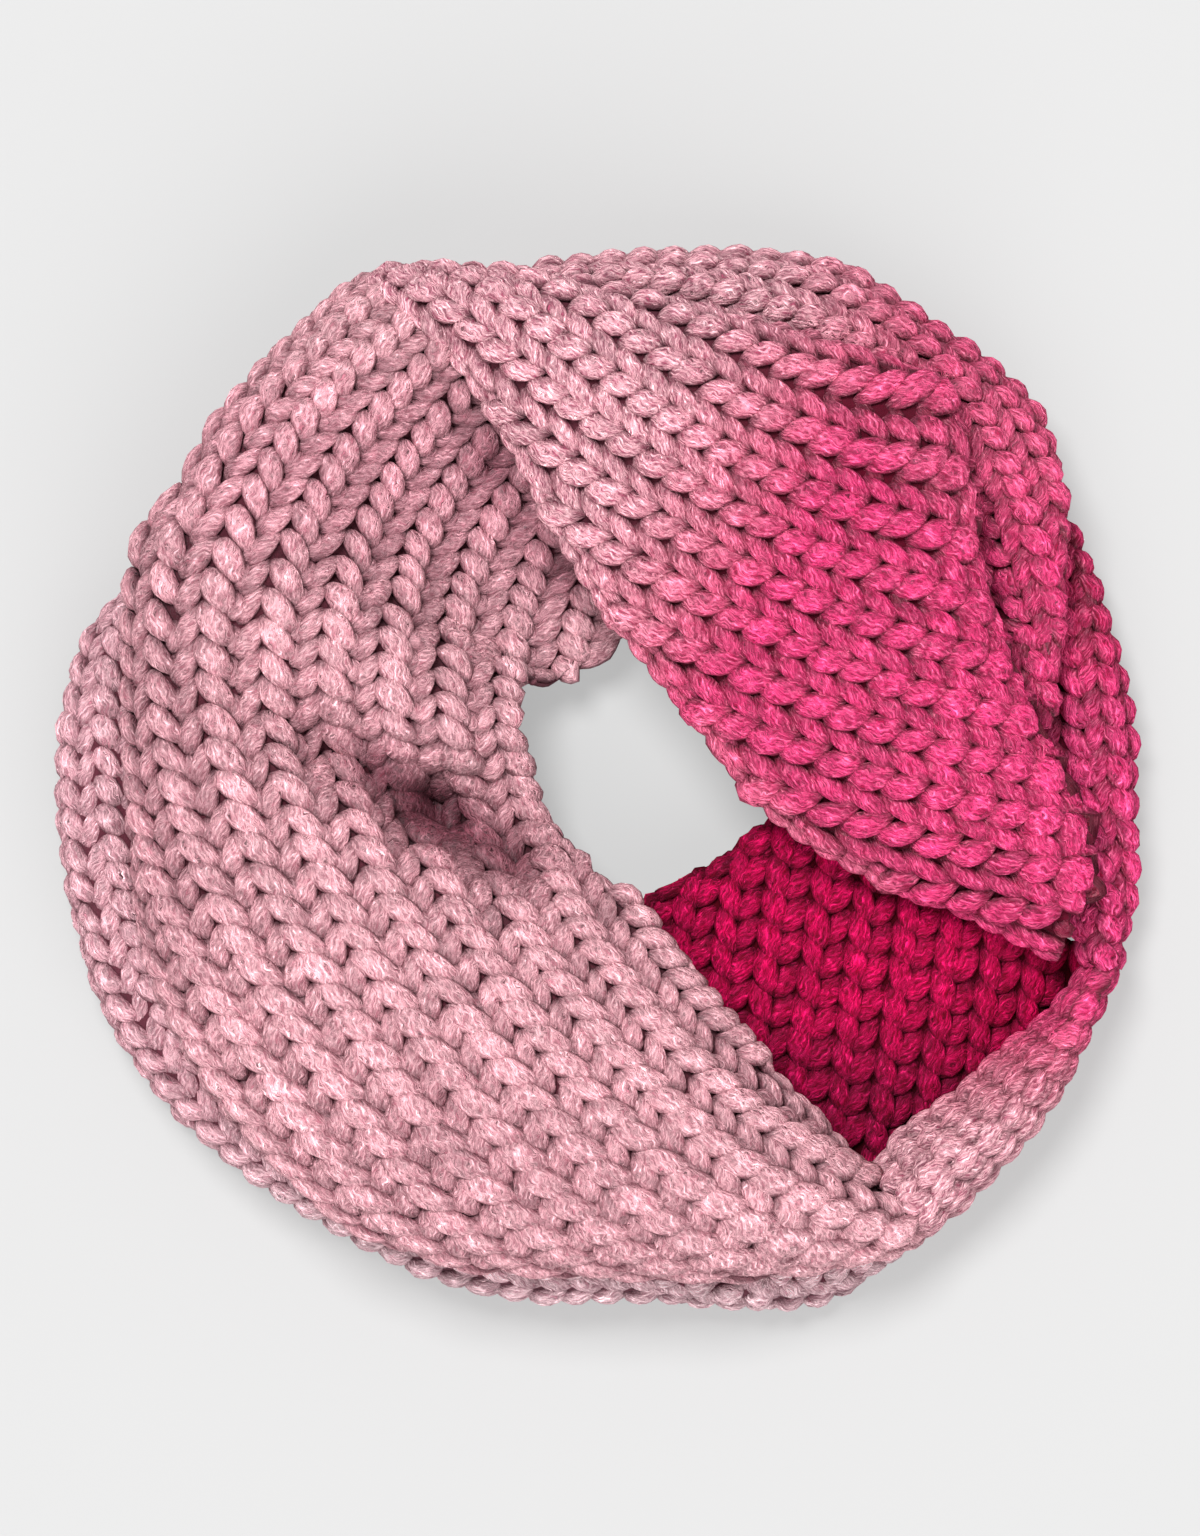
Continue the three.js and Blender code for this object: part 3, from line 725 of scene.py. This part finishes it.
def build(name, verts, quads, tris, colours, uv=None):
    """Mesh object in metres from points in the tables' millimetres."""
    verts = (verts + np.array([*SHIFT, 0])) * MM
    verts[:, 2] = np.maximum(verts[:, 2], 0.0)
    mesh = bpy.data.meshes.new(name)
    corners = np.concatenate([quads.ravel(), tris.ravel()]).astype(np.int32)
    starts = np.concatenate(
        [np.arange(len(quads)) * 4, len(quads) * 4 + np.arange(len(tris)) * 3]
    ).astype(np.int32)
    mesh.vertices.add(len(verts))
    mesh.vertices.foreach_set("co", verts.astype(np.float32).ravel())
    mesh.loops.add(len(corners))
    mesh.loops.foreach_set("vertex_index", corners)
    mesh.polygons.add(len(starts))
    mesh.polygons.foreach_set("loop_start", starts)
    mesh.update(calc_edges=True)
    mesh.shade_smooth()
    layer = mesh.color_attributes.new("yarn", "FLOAT_COLOR", "POINT")
    rgba = np.concatenate([colours, np.ones((len(colours), 1))], axis=1)
    layer.data.foreach_set("color", rgba.astype(np.float32).ravel())
    if uv is not None:
        loops = mesh.uv_layers.new(name="strand")
        loops.data.foreach_set("uv", uv[corners].astype(np.float32).ravel())
    obj = bpy.data.objects.new(name, mesh)
    bpy.context.scene.collection.objects.link(obj)
    return obj


def edge_chain(grid, inset, low, high, height):
    """Spines and normals of the chain of stitches along the first edge of a stretch."""
    inside = (grid["us"][:, 0] >= low) & (grid["us"][:, 0] <= high)
    k = int(np.argmax(grid["arc"][len(inside) // 2] > inset))
    line, up = grid["points"][inside, k], grid["normals"][inside, k]
    run = np.concatenate([[0], np.cumsum(np.linalg.norm(np.diff(line, axis=0), axis=1))])
    count = int(run[-1] / CHAIN_PITCH)
    t = np.linspace(0, 1, RINGS)
    reach = t * (1 + 2 * CHAIN_OVERLAP) - CHAIN_OVERLAP
    at = np.clip((np.arange(count)[:, None] + reach[None, :]) * run[-1] / count, 0, run[-1])
    spine = np.stack([np.interp(at, run, line[:, axis]) for axis in range(3)], axis=-1)
    ups = unit(np.stack([np.interp(at, run, up[:, axis]) for axis in range(3)], axis=-1))
    dip = height - CHAIN_ARCH * (1 - np.sin(np.pi * t))
    return spine + ups * dip[None, :, None], ups


def knit(name, grid, chart, colour_of, inside, row_mm, strands, furrows, chains=()):
    """Strands of every stitch whose middle lies inside the stretch."""
    furrow_depth, furrow_shade = furrows
    values = np.concatenate([grid["points"], grid["normals"], inside[..., None]], axis=-1)
    finder = Finder(chart, values)
    low = np.floor(chart.reshape(-1, 2).min(axis=0)).astype(int)
    high = np.ceil(chart.reshape(-1, 2).max(axis=0)).astype(int)
    rows = range(low[0] - 1, high[0] + 1)
    ribs = range(low[1] - 1, high[1] + 1)
    cells = np.array([(row, rib) for row in rows for rib in ribs])
    size = row_mm / STRAND_ROW
    t = np.linspace(0, 1, RINGS)[:, None]
    spines, ups, thick, wide, sunk = [], [], [], [], []
    for strand in strands:
        p0, p1, p2 = (np.array(p) for p in strand["path"])
        mid = 2 * p1 - (p0 + p2) / 2
        curve = (1 - t) ** 2 * p0 + 2 * t * (1 - t) * mid + t**2 * p2
        wobble = rng.normal(0, 1, (len(cells), 4))
        place = np.stack(
            [
                cells[:, :1] + curve[None, :, 1] + WANDER_ALONG * wobble[:, :1],
                cells[:, 1:] + curve[None, :, 0] + WANDER_ACROSS * wobble[:, 1:2],
            ],
            axis=-1,
        )
        centre, away = finder.find(place[:, RINGS // 2])
        keep = (away < EDGE_TRIM) & (centre[:, 6] > 0.5)
        found, _ = finder.find(place[keep])
        found = found.reshape(-1, RINGS, 7)
        up = unit(found[..., 3:6])
        across = place[keep][..., 1:] - FURROW
        furrow = np.cos(math.pi * across) ** FURROW_POWER
        height = curve[None, :, 2:] * size + WANDER_UP * wobble[keep, 2][:, None, None]
        height = height - furrow * furrow_depth
        sunk.append(furrow[..., 0] ** 2 * furrow_shade)
        spines.append(found[..., :3] + up * height)
        ups.append(up)
        thick.append(strand["thick"] * size * (1 + WANDER_THICK * wobble[keep, 3]))
        middle = place[keep][:, RINGS // 2]
        ahead, _ = finder.find(middle + np.array([ROW_SAMPLE, 0.0]))
        behind, _ = finder.find(middle - np.array([ROW_SAMPLE, 0.0]))
        row_here = np.linalg.norm(ahead[:, :3] - behind[:, :3], axis=1) / (2 * ROW_SAMPLE)
        wide.append(strand["wide"] * np.clip(row_here / row_mm, 1.0, WIDEST_STITCH))
    for chain, chain_ups, chain_thick, chain_wide in chains:
        spines.append(chain)
        ups.append(chain_ups)
        thick.append(np.full(len(chain), chain_thick))
        wide.append(np.full(len(chain), chain_wide))
        sunk.append(np.zeros(chain.shape[:2]))
    spines, ups = np.concatenate(spines), np.concatenate(ups)
    thick, wide, sunk = np.concatenate(thick), np.concatenate(wide), np.concatenate(sunk)
    length = np.linalg.norm(np.diff(spines, axis=1), axis=-1).sum(axis=1)
    shortest, longest = STRAND_LENGTHS
    good = (length > shortest) & (length < longest)
    spines, ups, thick, wide, sunk = spines[good], ups[good], thick[good], wide[good], sunk[good]
    tints = np.clip(1 + rng.normal(0, TINT_SPREAD, len(spines)), *TINT_RANGE)
    return strand_mesh(name, spines, ups, thick, wide, tints, sunk, colour_of)


def cloth(name, grid, colour_of):
    """Thin closed shell under the stitches, on the form of its solid."""
    n, m = grid["arc"].shape
    rows, columns = min(SHELL_ROWS, n), SHELL_COLUMNS
    i = np.linspace(0, n - 1, rows).round().astype(int)
    j = np.linspace(0, m - 1, columns).round().astype(int)
    points, normals = grid["points"][np.ix_(i, j)], grid["normals"][np.ix_(i, j)]
    outer, inner = points + normals * CLOTH_TOP, points + normals * CLOTH_BOTTOM
    verts = np.concatenate([outer.reshape(-1, 3), inner.reshape(-1, 3)])
    index = np.arange(rows * columns).reshape(rows, columns)
    shift = rows * columns
    a, b, c, d = index[:-1, :-1], index[:-1, 1:], index[1:, 1:], index[1:, :-1]
    faces = [
        np.stack([a, b, c, d], -1).reshape(-1, 4),
        np.stack([a, d, c, b], -1).reshape(-1, 4) + shift,
    ]
    for line, flip in ((index[0], 0), (index[-1], 1), (index[:, 0], 1), (index[:, -1], 0)):
        e, f = line[:-1], line[1:]
        side = np.stack([e, e + shift, f + shift, f], -1)
        faces.append(side[:, ::-1] if flip else side)
    quads = np.concatenate(faces)
    # painted shade: the cloth shows only between the stitches, so it takes the yarn's colour darkened
    colours = shaded_ground_colour(colour_of(verts[:, 0], verts[:, 1]))
    return turn_out(build(name, verts, quads, NO_TRIANGLES, colours))


def turn_out(obj):
    """Turns the faces of a closed mesh to the outside."""
    mesh = obj.data
    mesh.calc_loop_triangles()
    tri = np.array([t.vertices[:] for t in mesh.loop_triangles])
    co = np.array([v.co[:] for v in mesh.vertices])
    volume = np.einsum("ij,ij->", co[tri[:, 0]], np.cross(co[tri[:, 1]], co[tri[:, 2]]))
    if volume < 0:
        mesh.flip_normals()
    return obj


def node(tree, kind, **values):
    """New node with its settings and inputs filled in."""
    made = tree.nodes.new(kind)
    for key, value in values.items():
        if hasattr(made, key) and key not in made.inputs:
            setattr(made, key, value)
        else:
            made.inputs[key].default_value = value
    return made


FIBRE_FINENESS = 9.0  # how fast the fibres change round a strand
FIBRE_TWIST = 0.20  # how steeply they wind round it
FIBRE_DRAW = 0.11  # how fast they change along it
FIBRE_WANDER = (1.5, 0.4, 0.0)
FIBRE_RELIEF = 1.4  # relief of the fibres beside that of the nap
TIP_POWER = 3.0  # a high power keeps the painted glints on the palest tips sparse
NAP_DEPTH = 0.0014  # metres


def yarn_material(name, nap, core, ends, tips, strands=True):
    """Soft matte yarn: colour from the fade, twisted fibres, nap and fuzz."""
    material = bpy.data.materials.new(name)
    material.use_nodes = True
    tree = material.node_tree
    tree.nodes.clear()
    link = tree.links.new
    out = node(tree, "ShaderNodeOutputMaterial")
    shader = node(tree, "ShaderNodeBsdfPrincipled")
    shader.inputs["Roughness"].default_value = 0.86
    shader.inputs["Specular IOR Level"].default_value = 0.06
    shader.inputs["Sheen Weight"].default_value = 0.07
    shader.inputs["Sheen Roughness"].default_value = 0.45
    shader.inputs["Sheen Tint"].default_value = (*nap, 1.0)
    fade = node(tree, "ShaderNodeVertexColor", layer_name="yarn")
    place = node(tree, "ShaderNodeTexCoord")
    # fuzz: fine uneven nap over the whole yarn
    fuzz = node(tree, "ShaderNodeTexNoise", Scale=900.0, Detail=3.0, Roughness=0.7)
    link(place.outputs["Object"], fuzz.inputs["Vector"])
    clump = node(tree, "ShaderNodeTexNoise", Scale=160.0, Detail=2.0)
    link(place.outputs["Object"], clump.inputs["Vector"])
    mottled = node(tree, "ShaderNodeMapRange")
    mottled.inputs["From Min"].default_value = 0.3
    mottled.inputs["From Max"].default_value = 0.7
    mottled.inputs["To Min"].default_value = 0.80
    mottled.inputs["To Max"].default_value = 1.13
    link(clump.outputs["Fac"], mottled.inputs["Value"])
    tone = node(tree, "ShaderNodeVectorMath", operation="SCALE")
    link(fade.outputs["Color"], tone.inputs[0])
    link(mottled.outputs["Result"], tone.inputs["Scale"])
    colour = tone.outputs["Vector"]
    height = fuzz.outputs["Fac"]
    if strands:
        # fibres twist round each strand: bands that run aslant along its length
        uv = node(tree, "ShaderNodeUVMap", uv_map="strand")
        split = node(tree, "ShaderNodeSeparateXYZ")
        link(uv.outputs["UV"], split.inputs["Vector"])
        turns = node(tree, "ShaderNodeMath", operation="MULTIPLY")
        turns.inputs[1].default_value = FIBRE_FINENESS
        link(split.outputs["Y"], turns.inputs[0])
        run = node(tree, "ShaderNodeMath", operation="MULTIPLY")
        run.inputs[1].default_value = FIBRE_TWIST
        link(split.outputs["X"], run.inputs[0])
        spiral = node(tree, "ShaderNodeMath", operation="ADD")
        link(turns.outputs[0], spiral.inputs[0])
        link(run.outputs[0], spiral.inputs[1])
        drawn = node(tree, "ShaderNodeMath", operation="MULTIPLY")
        drawn.inputs[1].default_value = FIBRE_DRAW
        link(split.outputs["X"], drawn.inputs[0])
        lay = node(tree, "ShaderNodeCombineXYZ")
        link(spiral.outputs[0], lay.inputs["X"])
        link(drawn.outputs[0], lay.inputs["Y"])
        # the fibres wander a little, as in loose woollen yarn
        wander = node(tree, "ShaderNodeTexNoise", Scale=260.0, Detail=1.0)
        link(place.outputs["Object"], wander.inputs["Vector"])
        own = node(tree, "ShaderNodeVectorMath", operation="MULTIPLY_ADD")
        own.inputs[1].default_value = FIBRE_WANDER
        link(wander.outputs["Color"], own.inputs[0])
        link(lay.outputs["Vector"], own.inputs[2])
        fibres = node(tree, "ShaderNodeTexNoise", Scale=2.8, Detail=4.0, Roughness=0.66)
        link(own.outputs["Vector"], fibres.inputs["Vector"])
        fibre = node(tree, "ShaderNodeMapRange")
        fibre.inputs["From Min"].default_value = 0.36
        fibre.inputs["From Max"].default_value = 0.64
        link(fibres.outputs["Fac"], fibre.inputs["Value"])
        both = node(tree, "ShaderNodeMath", operation="MULTIPLY_ADD")
        both.inputs[1].default_value = FIBRE_RELIEF
        link(fibre.outputs["Result"], both.inputs[0])
        link(fuzz.outputs["Fac"], both.inputs[2])
        height = both.outputs[0]
        # pale fibre ends over deeper, redder ones
        streak = node(tree, "ShaderNodeVectorMath", operation="MULTIPLY_ADD")
        streak.inputs[1].default_value = ends
        streak.inputs[2].default_value = core
        link(fibre.outputs["Result"], streak.inputs[0])
        toned = node(tree, "ShaderNodeVectorMath", operation="MULTIPLY")
        link(colour, toned.inputs[0])
        link(streak.outputs["Vector"], toned.inputs[1])
        # painted glints: the palest fibre tips get a little pale colour added
        sharp = node(tree, "ShaderNodeMath", operation="POWER")
        sharp.inputs[1].default_value = TIP_POWER
        link(fibre.outputs["Result"], sharp.inputs[0])
        tipped = node(tree, "ShaderNodeVectorMath", operation="MULTIPLY_ADD")
        tipped.inputs[1].default_value = tips
        link(sharp.outputs[0], tipped.inputs[0])
        link(toned.outputs["Vector"], tipped.inputs[2])
        colour = tipped.outputs["Vector"]
    bump = node(tree, "ShaderNodeBump")
    bump.inputs["Strength"].default_value = 1.0
    bump.inputs["Distance"].default_value = NAP_DEPTH
    link(height, bump.inputs["Height"])
    link(colour, shader.inputs["Base Color"])
    link(bump.outputs["Normal"], shader.inputs["Normal"])
    link(shader.outputs["BSDF"], out.inputs["Surface"])
    return material


# For each family of colour: what the yarn's colour is multiplied by at the core of the
# fibres, what their pale ends add to that, and what their tips add to the colour as painted glints
SOFT = ((0.56, 0.36, 0.42), (0.90, 1.12, 1.05), (0.02, 0.03, 0.03))
WARM = ((0.43, 0.16, 0.26), (1.18, 1.46, 1.36), (0.07, 0.10, 0.09))
BRIGHT = ((0.42, 0.08, 0.20), (1.36, 2.00, 1.74), (0.07, 0.10, 0.09))
DARK = ((0.34, 0.05, 0.15), (1.30, 2.10, 1.50), (0.14, 0.010, 0.045))
# Each slot's sheen tint and family
FAMILIES = {
    "knit_pale": ((1.0, 0.82, 0.86), *SOFT),
    "knit_shaded": ((1.0, 0.78, 0.84), *SOFT),
    "knit_dusty": ((1.0, 0.84, 0.88), *SOFT),
    "knit_fading": ((1.0, 0.45, 0.62), *WARM),
    "knit_rose": ((1.0, 0.60, 0.72), *WARM),
    "knit_hot": ((1.0, 0.40, 0.60), *BRIGHT),
    "knit_crimson": ((1.0, 0.08, 0.28), *DARK),
}
YARNS = {slot: yarn_material(slot + "_yarn", *family) for slot, family in FAMILIES.items()}
GROUNDS = {
    slot: yarn_material(slot + "_ground", *family, strands=False) for slot, family in FAMILIES.items()
}


def dress(obj, material):
    obj.data.materials.append(material)
    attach(obj, "root")
    return obj


FURROWS = (2.2, 0.7)  # depth in mm and share of shade in the furrow between two ribs


def stretch(name, run, folds, start, end, colour_of, slot, row_mm, rib_mm=None, sites=None,
            degree=3, facing=1, split=None, flat=None,
            strands=STRANDS, furrows=FURROWS, chains=()):
    """Cloth and stitches of one or more neighbouring stretches on one surface."""
    rows = int((end - start) * GRID_ROWS) + 1
    grid = wall_grid(run, folds, start, end, rows, GRID_COLUMNS, facing)
    if sites is None:
        chart = plain_chart(grid, row_mm, rib_mm)
    else:
        chart = knit_chart(grid, sites, degree)
    for part, low, high, part_slot, part_colour, part_flat in split or [
        (name, start, end, slot, colour_of, flat)
    ]:
        inside = ((grid["us"] >= low) & (grid["us"] < high)).astype(float)
        part_rows = int((high - low) * GRID_ROWS) + 1
        wall = wall_grid(run, folds, low + END_GAP, high - END_GAP, part_rows, GRID_COLUMNS, facing)
        ground = cloth(part + "_cloth", wall, part_colour)
        edges = [
            (*edge_chain(grid, inset, low, high, height), chain_thick, chain_wide)
            for inset, height, chain_thick, chain_wide in chains
        ]
        stitches = knit(
            part + "_stitches", grid, chart, part_colour, inside, row_mm, strands, furrows, edges
        )
        dress(ground, GROUNDS[part_slot])
        dress(stitches, YARNS[part_slot])
        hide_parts(part)


# An edge chain is its inset and height, then half its thickness and how much wider it is
stretch("upper", UPPER_RUN, UPPER_FOLDS + CREASES, 5, 18.6, upper_colour, "knit_pale", 11.2,
        sites=UPPER_KNIT, degree=4,
        split=[("front", 5, 14, "knit_pale", upper_colour, (0.19, 0.34)),
               ("left_inner", 14, 18.6, "knit_shaded", upper_colour, (0.18, 0.12))],
        chains=[(2.0, -1.0, 2.5, 1.1)], furrows=(1.4, 0.45))
stretch("corner_rim", UPPER_RUN, UPPER_FOLDS, 0, 5, rim_colour, "knit_rose", 12.0, rib_mm=12.5,
        flat=(0.075, 0.13), strands=RIM_STRANDS,
        chains=[(1.5, -1.0, 2.8, 1.2)])
stretch("crossing", CROSSING_RUN, CROSSING_FOLDS, 0, 11, crossing_colour, "knit_fading", 11.8,
        sites=CROSSING_KNIT, degree=3, flat=(0.17, 0.26),
        strands=CROSSING_STRANDS, chains=[(2.0, -1.0, 2.7, 1.2), (6.5, -2.6, 2.5, 1.3)],
        furrows=(2.6, 0.85))
stretch("outer_right", OUTER_RUN, OUTER_FOLDS, 0, 11, outer_colour, "knit_rose", 11.0, rib_mm=15.5,
        flat=(0.085, 0.255), furrows=(1.6, 0.5))
stretch("side_right", SIDE_RUN, SIDE_FOLDS, 0, 10, side_colour, "knit_hot", 11.0, rib_mm=15.0,
        flat=(0.055, 0.19))
stretch("tail", TAIL_RUN, [], 0, 7, tail_colour, "knit_crimson", 11.4, sites=TAIL_KNIT, degree=1,
        facing=-1, flat=(0.11, 0.105), strands=TAIL_STRANDS,
        furrows=(3.4, 0.9))


RING_SHELL = 3.2  # thickness of the ring's cloth, mm
RING_FLOOR = 0.5  # below this height a point belongs to the underside, mm
RING_SHELL_GRID = (150, 80)  # points round the ring and round its outline
RING_STITCH_GRID = (260, 90)
RING_ROW = 10.6
RING_RIB = 15.5
RING_FURROWS = (1.5, 0.45)


def lower_wrap():
    """The hidden layers: one thin closed shell round the ring, stitched at its flank."""
    first, last = FLANK_POINTS
    whole = ring_grid(*RING_SHELL_GRID, 0, last)
    # the last row of the grid is the first one again
    points, normals = whole["points"][:-1], whole["normals"][:-1]
    n, m = points.shape[:2]
    outer = points.reshape(-1, 3)
    underside = points[..., 2:] < RING_FLOOR
    normals = np.where(underside, np.array([0, 0, -1.0]), normals)
    inner = outer - (normals * RING_SHELL).reshape(-1, 3)
    inner[:, 2] = np.maximum(inner[:, 2], RING_SHELL)
    verts = np.concatenate([outer, inner])
    # the outline is closed: the last point joins the first along the underside
    index = np.arange(n * m).reshape(n, m)
    a, b = index, np.roll(index, -1, axis=0)
    c, d = np.roll(b, -1, axis=1), np.roll(a, -1, axis=1)
    quads = np.concatenate(
        [np.stack([a, b, c, d], -1).reshape(-1, 4), np.stack([a, d, c, b], -1).reshape(-1, 4) + n * m]
    )
    # painted shade: the ring's cloth shows only between the stitches, so it takes the yarn's colour
    # darkened
    colours = shaded_ground_colour(lower_colour(verts[:, 0], verts[:, 1]))
    ground = turn_out(build("lower_wrap_cloth", verts, quads, NO_TRIANGLES, colours))
    dress(ground, GROUNDS["knit_dusty"])
    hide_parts("lower_wrap")
    flank = ring_grid(*RING_STITCH_GRID, first, last)
    chart = plain_chart(flank, RING_ROW, RING_RIB)
    # a whole number of rows goes round the ring
    rounds = chart[-1, 0, 0]
    chart[..., 0] *= round(rounds) / rounds
    inside = np.ones(flank["arc"].shape)
    stitches = knit(
        "lower_wrap_stitches", flank, chart, lower_colour, inside, RING_ROW, STRANDS, RING_FURROWS
    )
    dress(stitches, YARNS["knit_dusty"])


lower_wrap()

# Plain pale floor, soft light from above and the camera of the photograph
FLOOR_HALF = 30.0  # metres
FLOOR_CORNERS = [(-1, -1), (1, -1), (1, 1), (-1, 1)]
floor_mesh = bpy.data.meshes.new("floor")
floor_mesh.from_pydata(
    [(x * FLOOR_HALF, y * FLOOR_HALF, 0) for x, y in FLOOR_CORNERS], [], [(0, 1, 2, 3)]
)
floor = bpy.data.objects.new("floor", floor_mesh)
bpy.context.scene.collection.objects.link(floor)
paper = bpy.data.materials.new("floor_paper")
paper.use_nodes = True
paper_shader = paper.node_tree.nodes["Principled BSDF"]
paper_shader.inputs["Base Color"].default_value = (0.155, 0.155, 0.155, 1)
paper_shader.inputs["Emission Color"].default_value = (1.0, 1.0, 1.0, 1)
paper_shader.inputs["Emission Strength"].default_value = 0.38
paper_shader.inputs["Roughness"].default_value = 0.9
floor_mesh.materials.append(paper)

world = bpy.data.worlds.new("studio")
world.use_nodes = True
world.node_tree.nodes["Background"].inputs["Color"].default_value = (1.0, 1.0, 1.0, 1)
world.node_tree.nodes["Background"].inputs["Strength"].default_value = 0.76
bpy.context.scene.world = world
bpy.context.scene.view_settings.view_transform = "Standard"


def sun(name, strength, spread, towards):
    """Sun lamp whose disc is spread degrees wide."""
    lamp = bpy.data.lights.new(name, "SUN")
    lamp.energy = strength
    lamp.angle = math.radians(spread)
    obj = bpy.data.objects.new(name, lamp)
    obj.rotation_mode = "QUATERNION"
    obj.rotation_quaternion = Vector(towards).to_track_quat("-Z", "Y")
    bpy.context.scene.collection.objects.link(obj)


sun("key", 4.75, 18, (0.18, -0.32, -1.0))
sun("fill", 2.7, 60, (-0.20, 0.90, -1.0))

FRAME_HEIGHT = 0.5376  # what the photograph's long side covers, metres
FRAME_MIDDLE = 2.8  # how far the photograph's middle lies above the tables' zero, mm
DISTANCE = 9.0  # height of the camera, metres
REFERENCE = 0.05  # height at which the frame's size is right, metres
SENSOR = 36.0
CLIP_END = 200
camera = bpy.data.cameras.new("camera")
camera.sensor_width = SENSOR
camera.lens = SENSOR * (DISTANCE - REFERENCE) / FRAME_HEIGHT
camera.clip_end = CLIP_END
eye = bpy.data.objects.new("camera", camera)
eye.location = (SHIFT[0] * MM, (FRAME_MIDDLE + SHIFT[1]) * MM, DISTANCE)
bpy.context.scene.collection.objects.link(eye)
bpy.context.scene.camera = eye
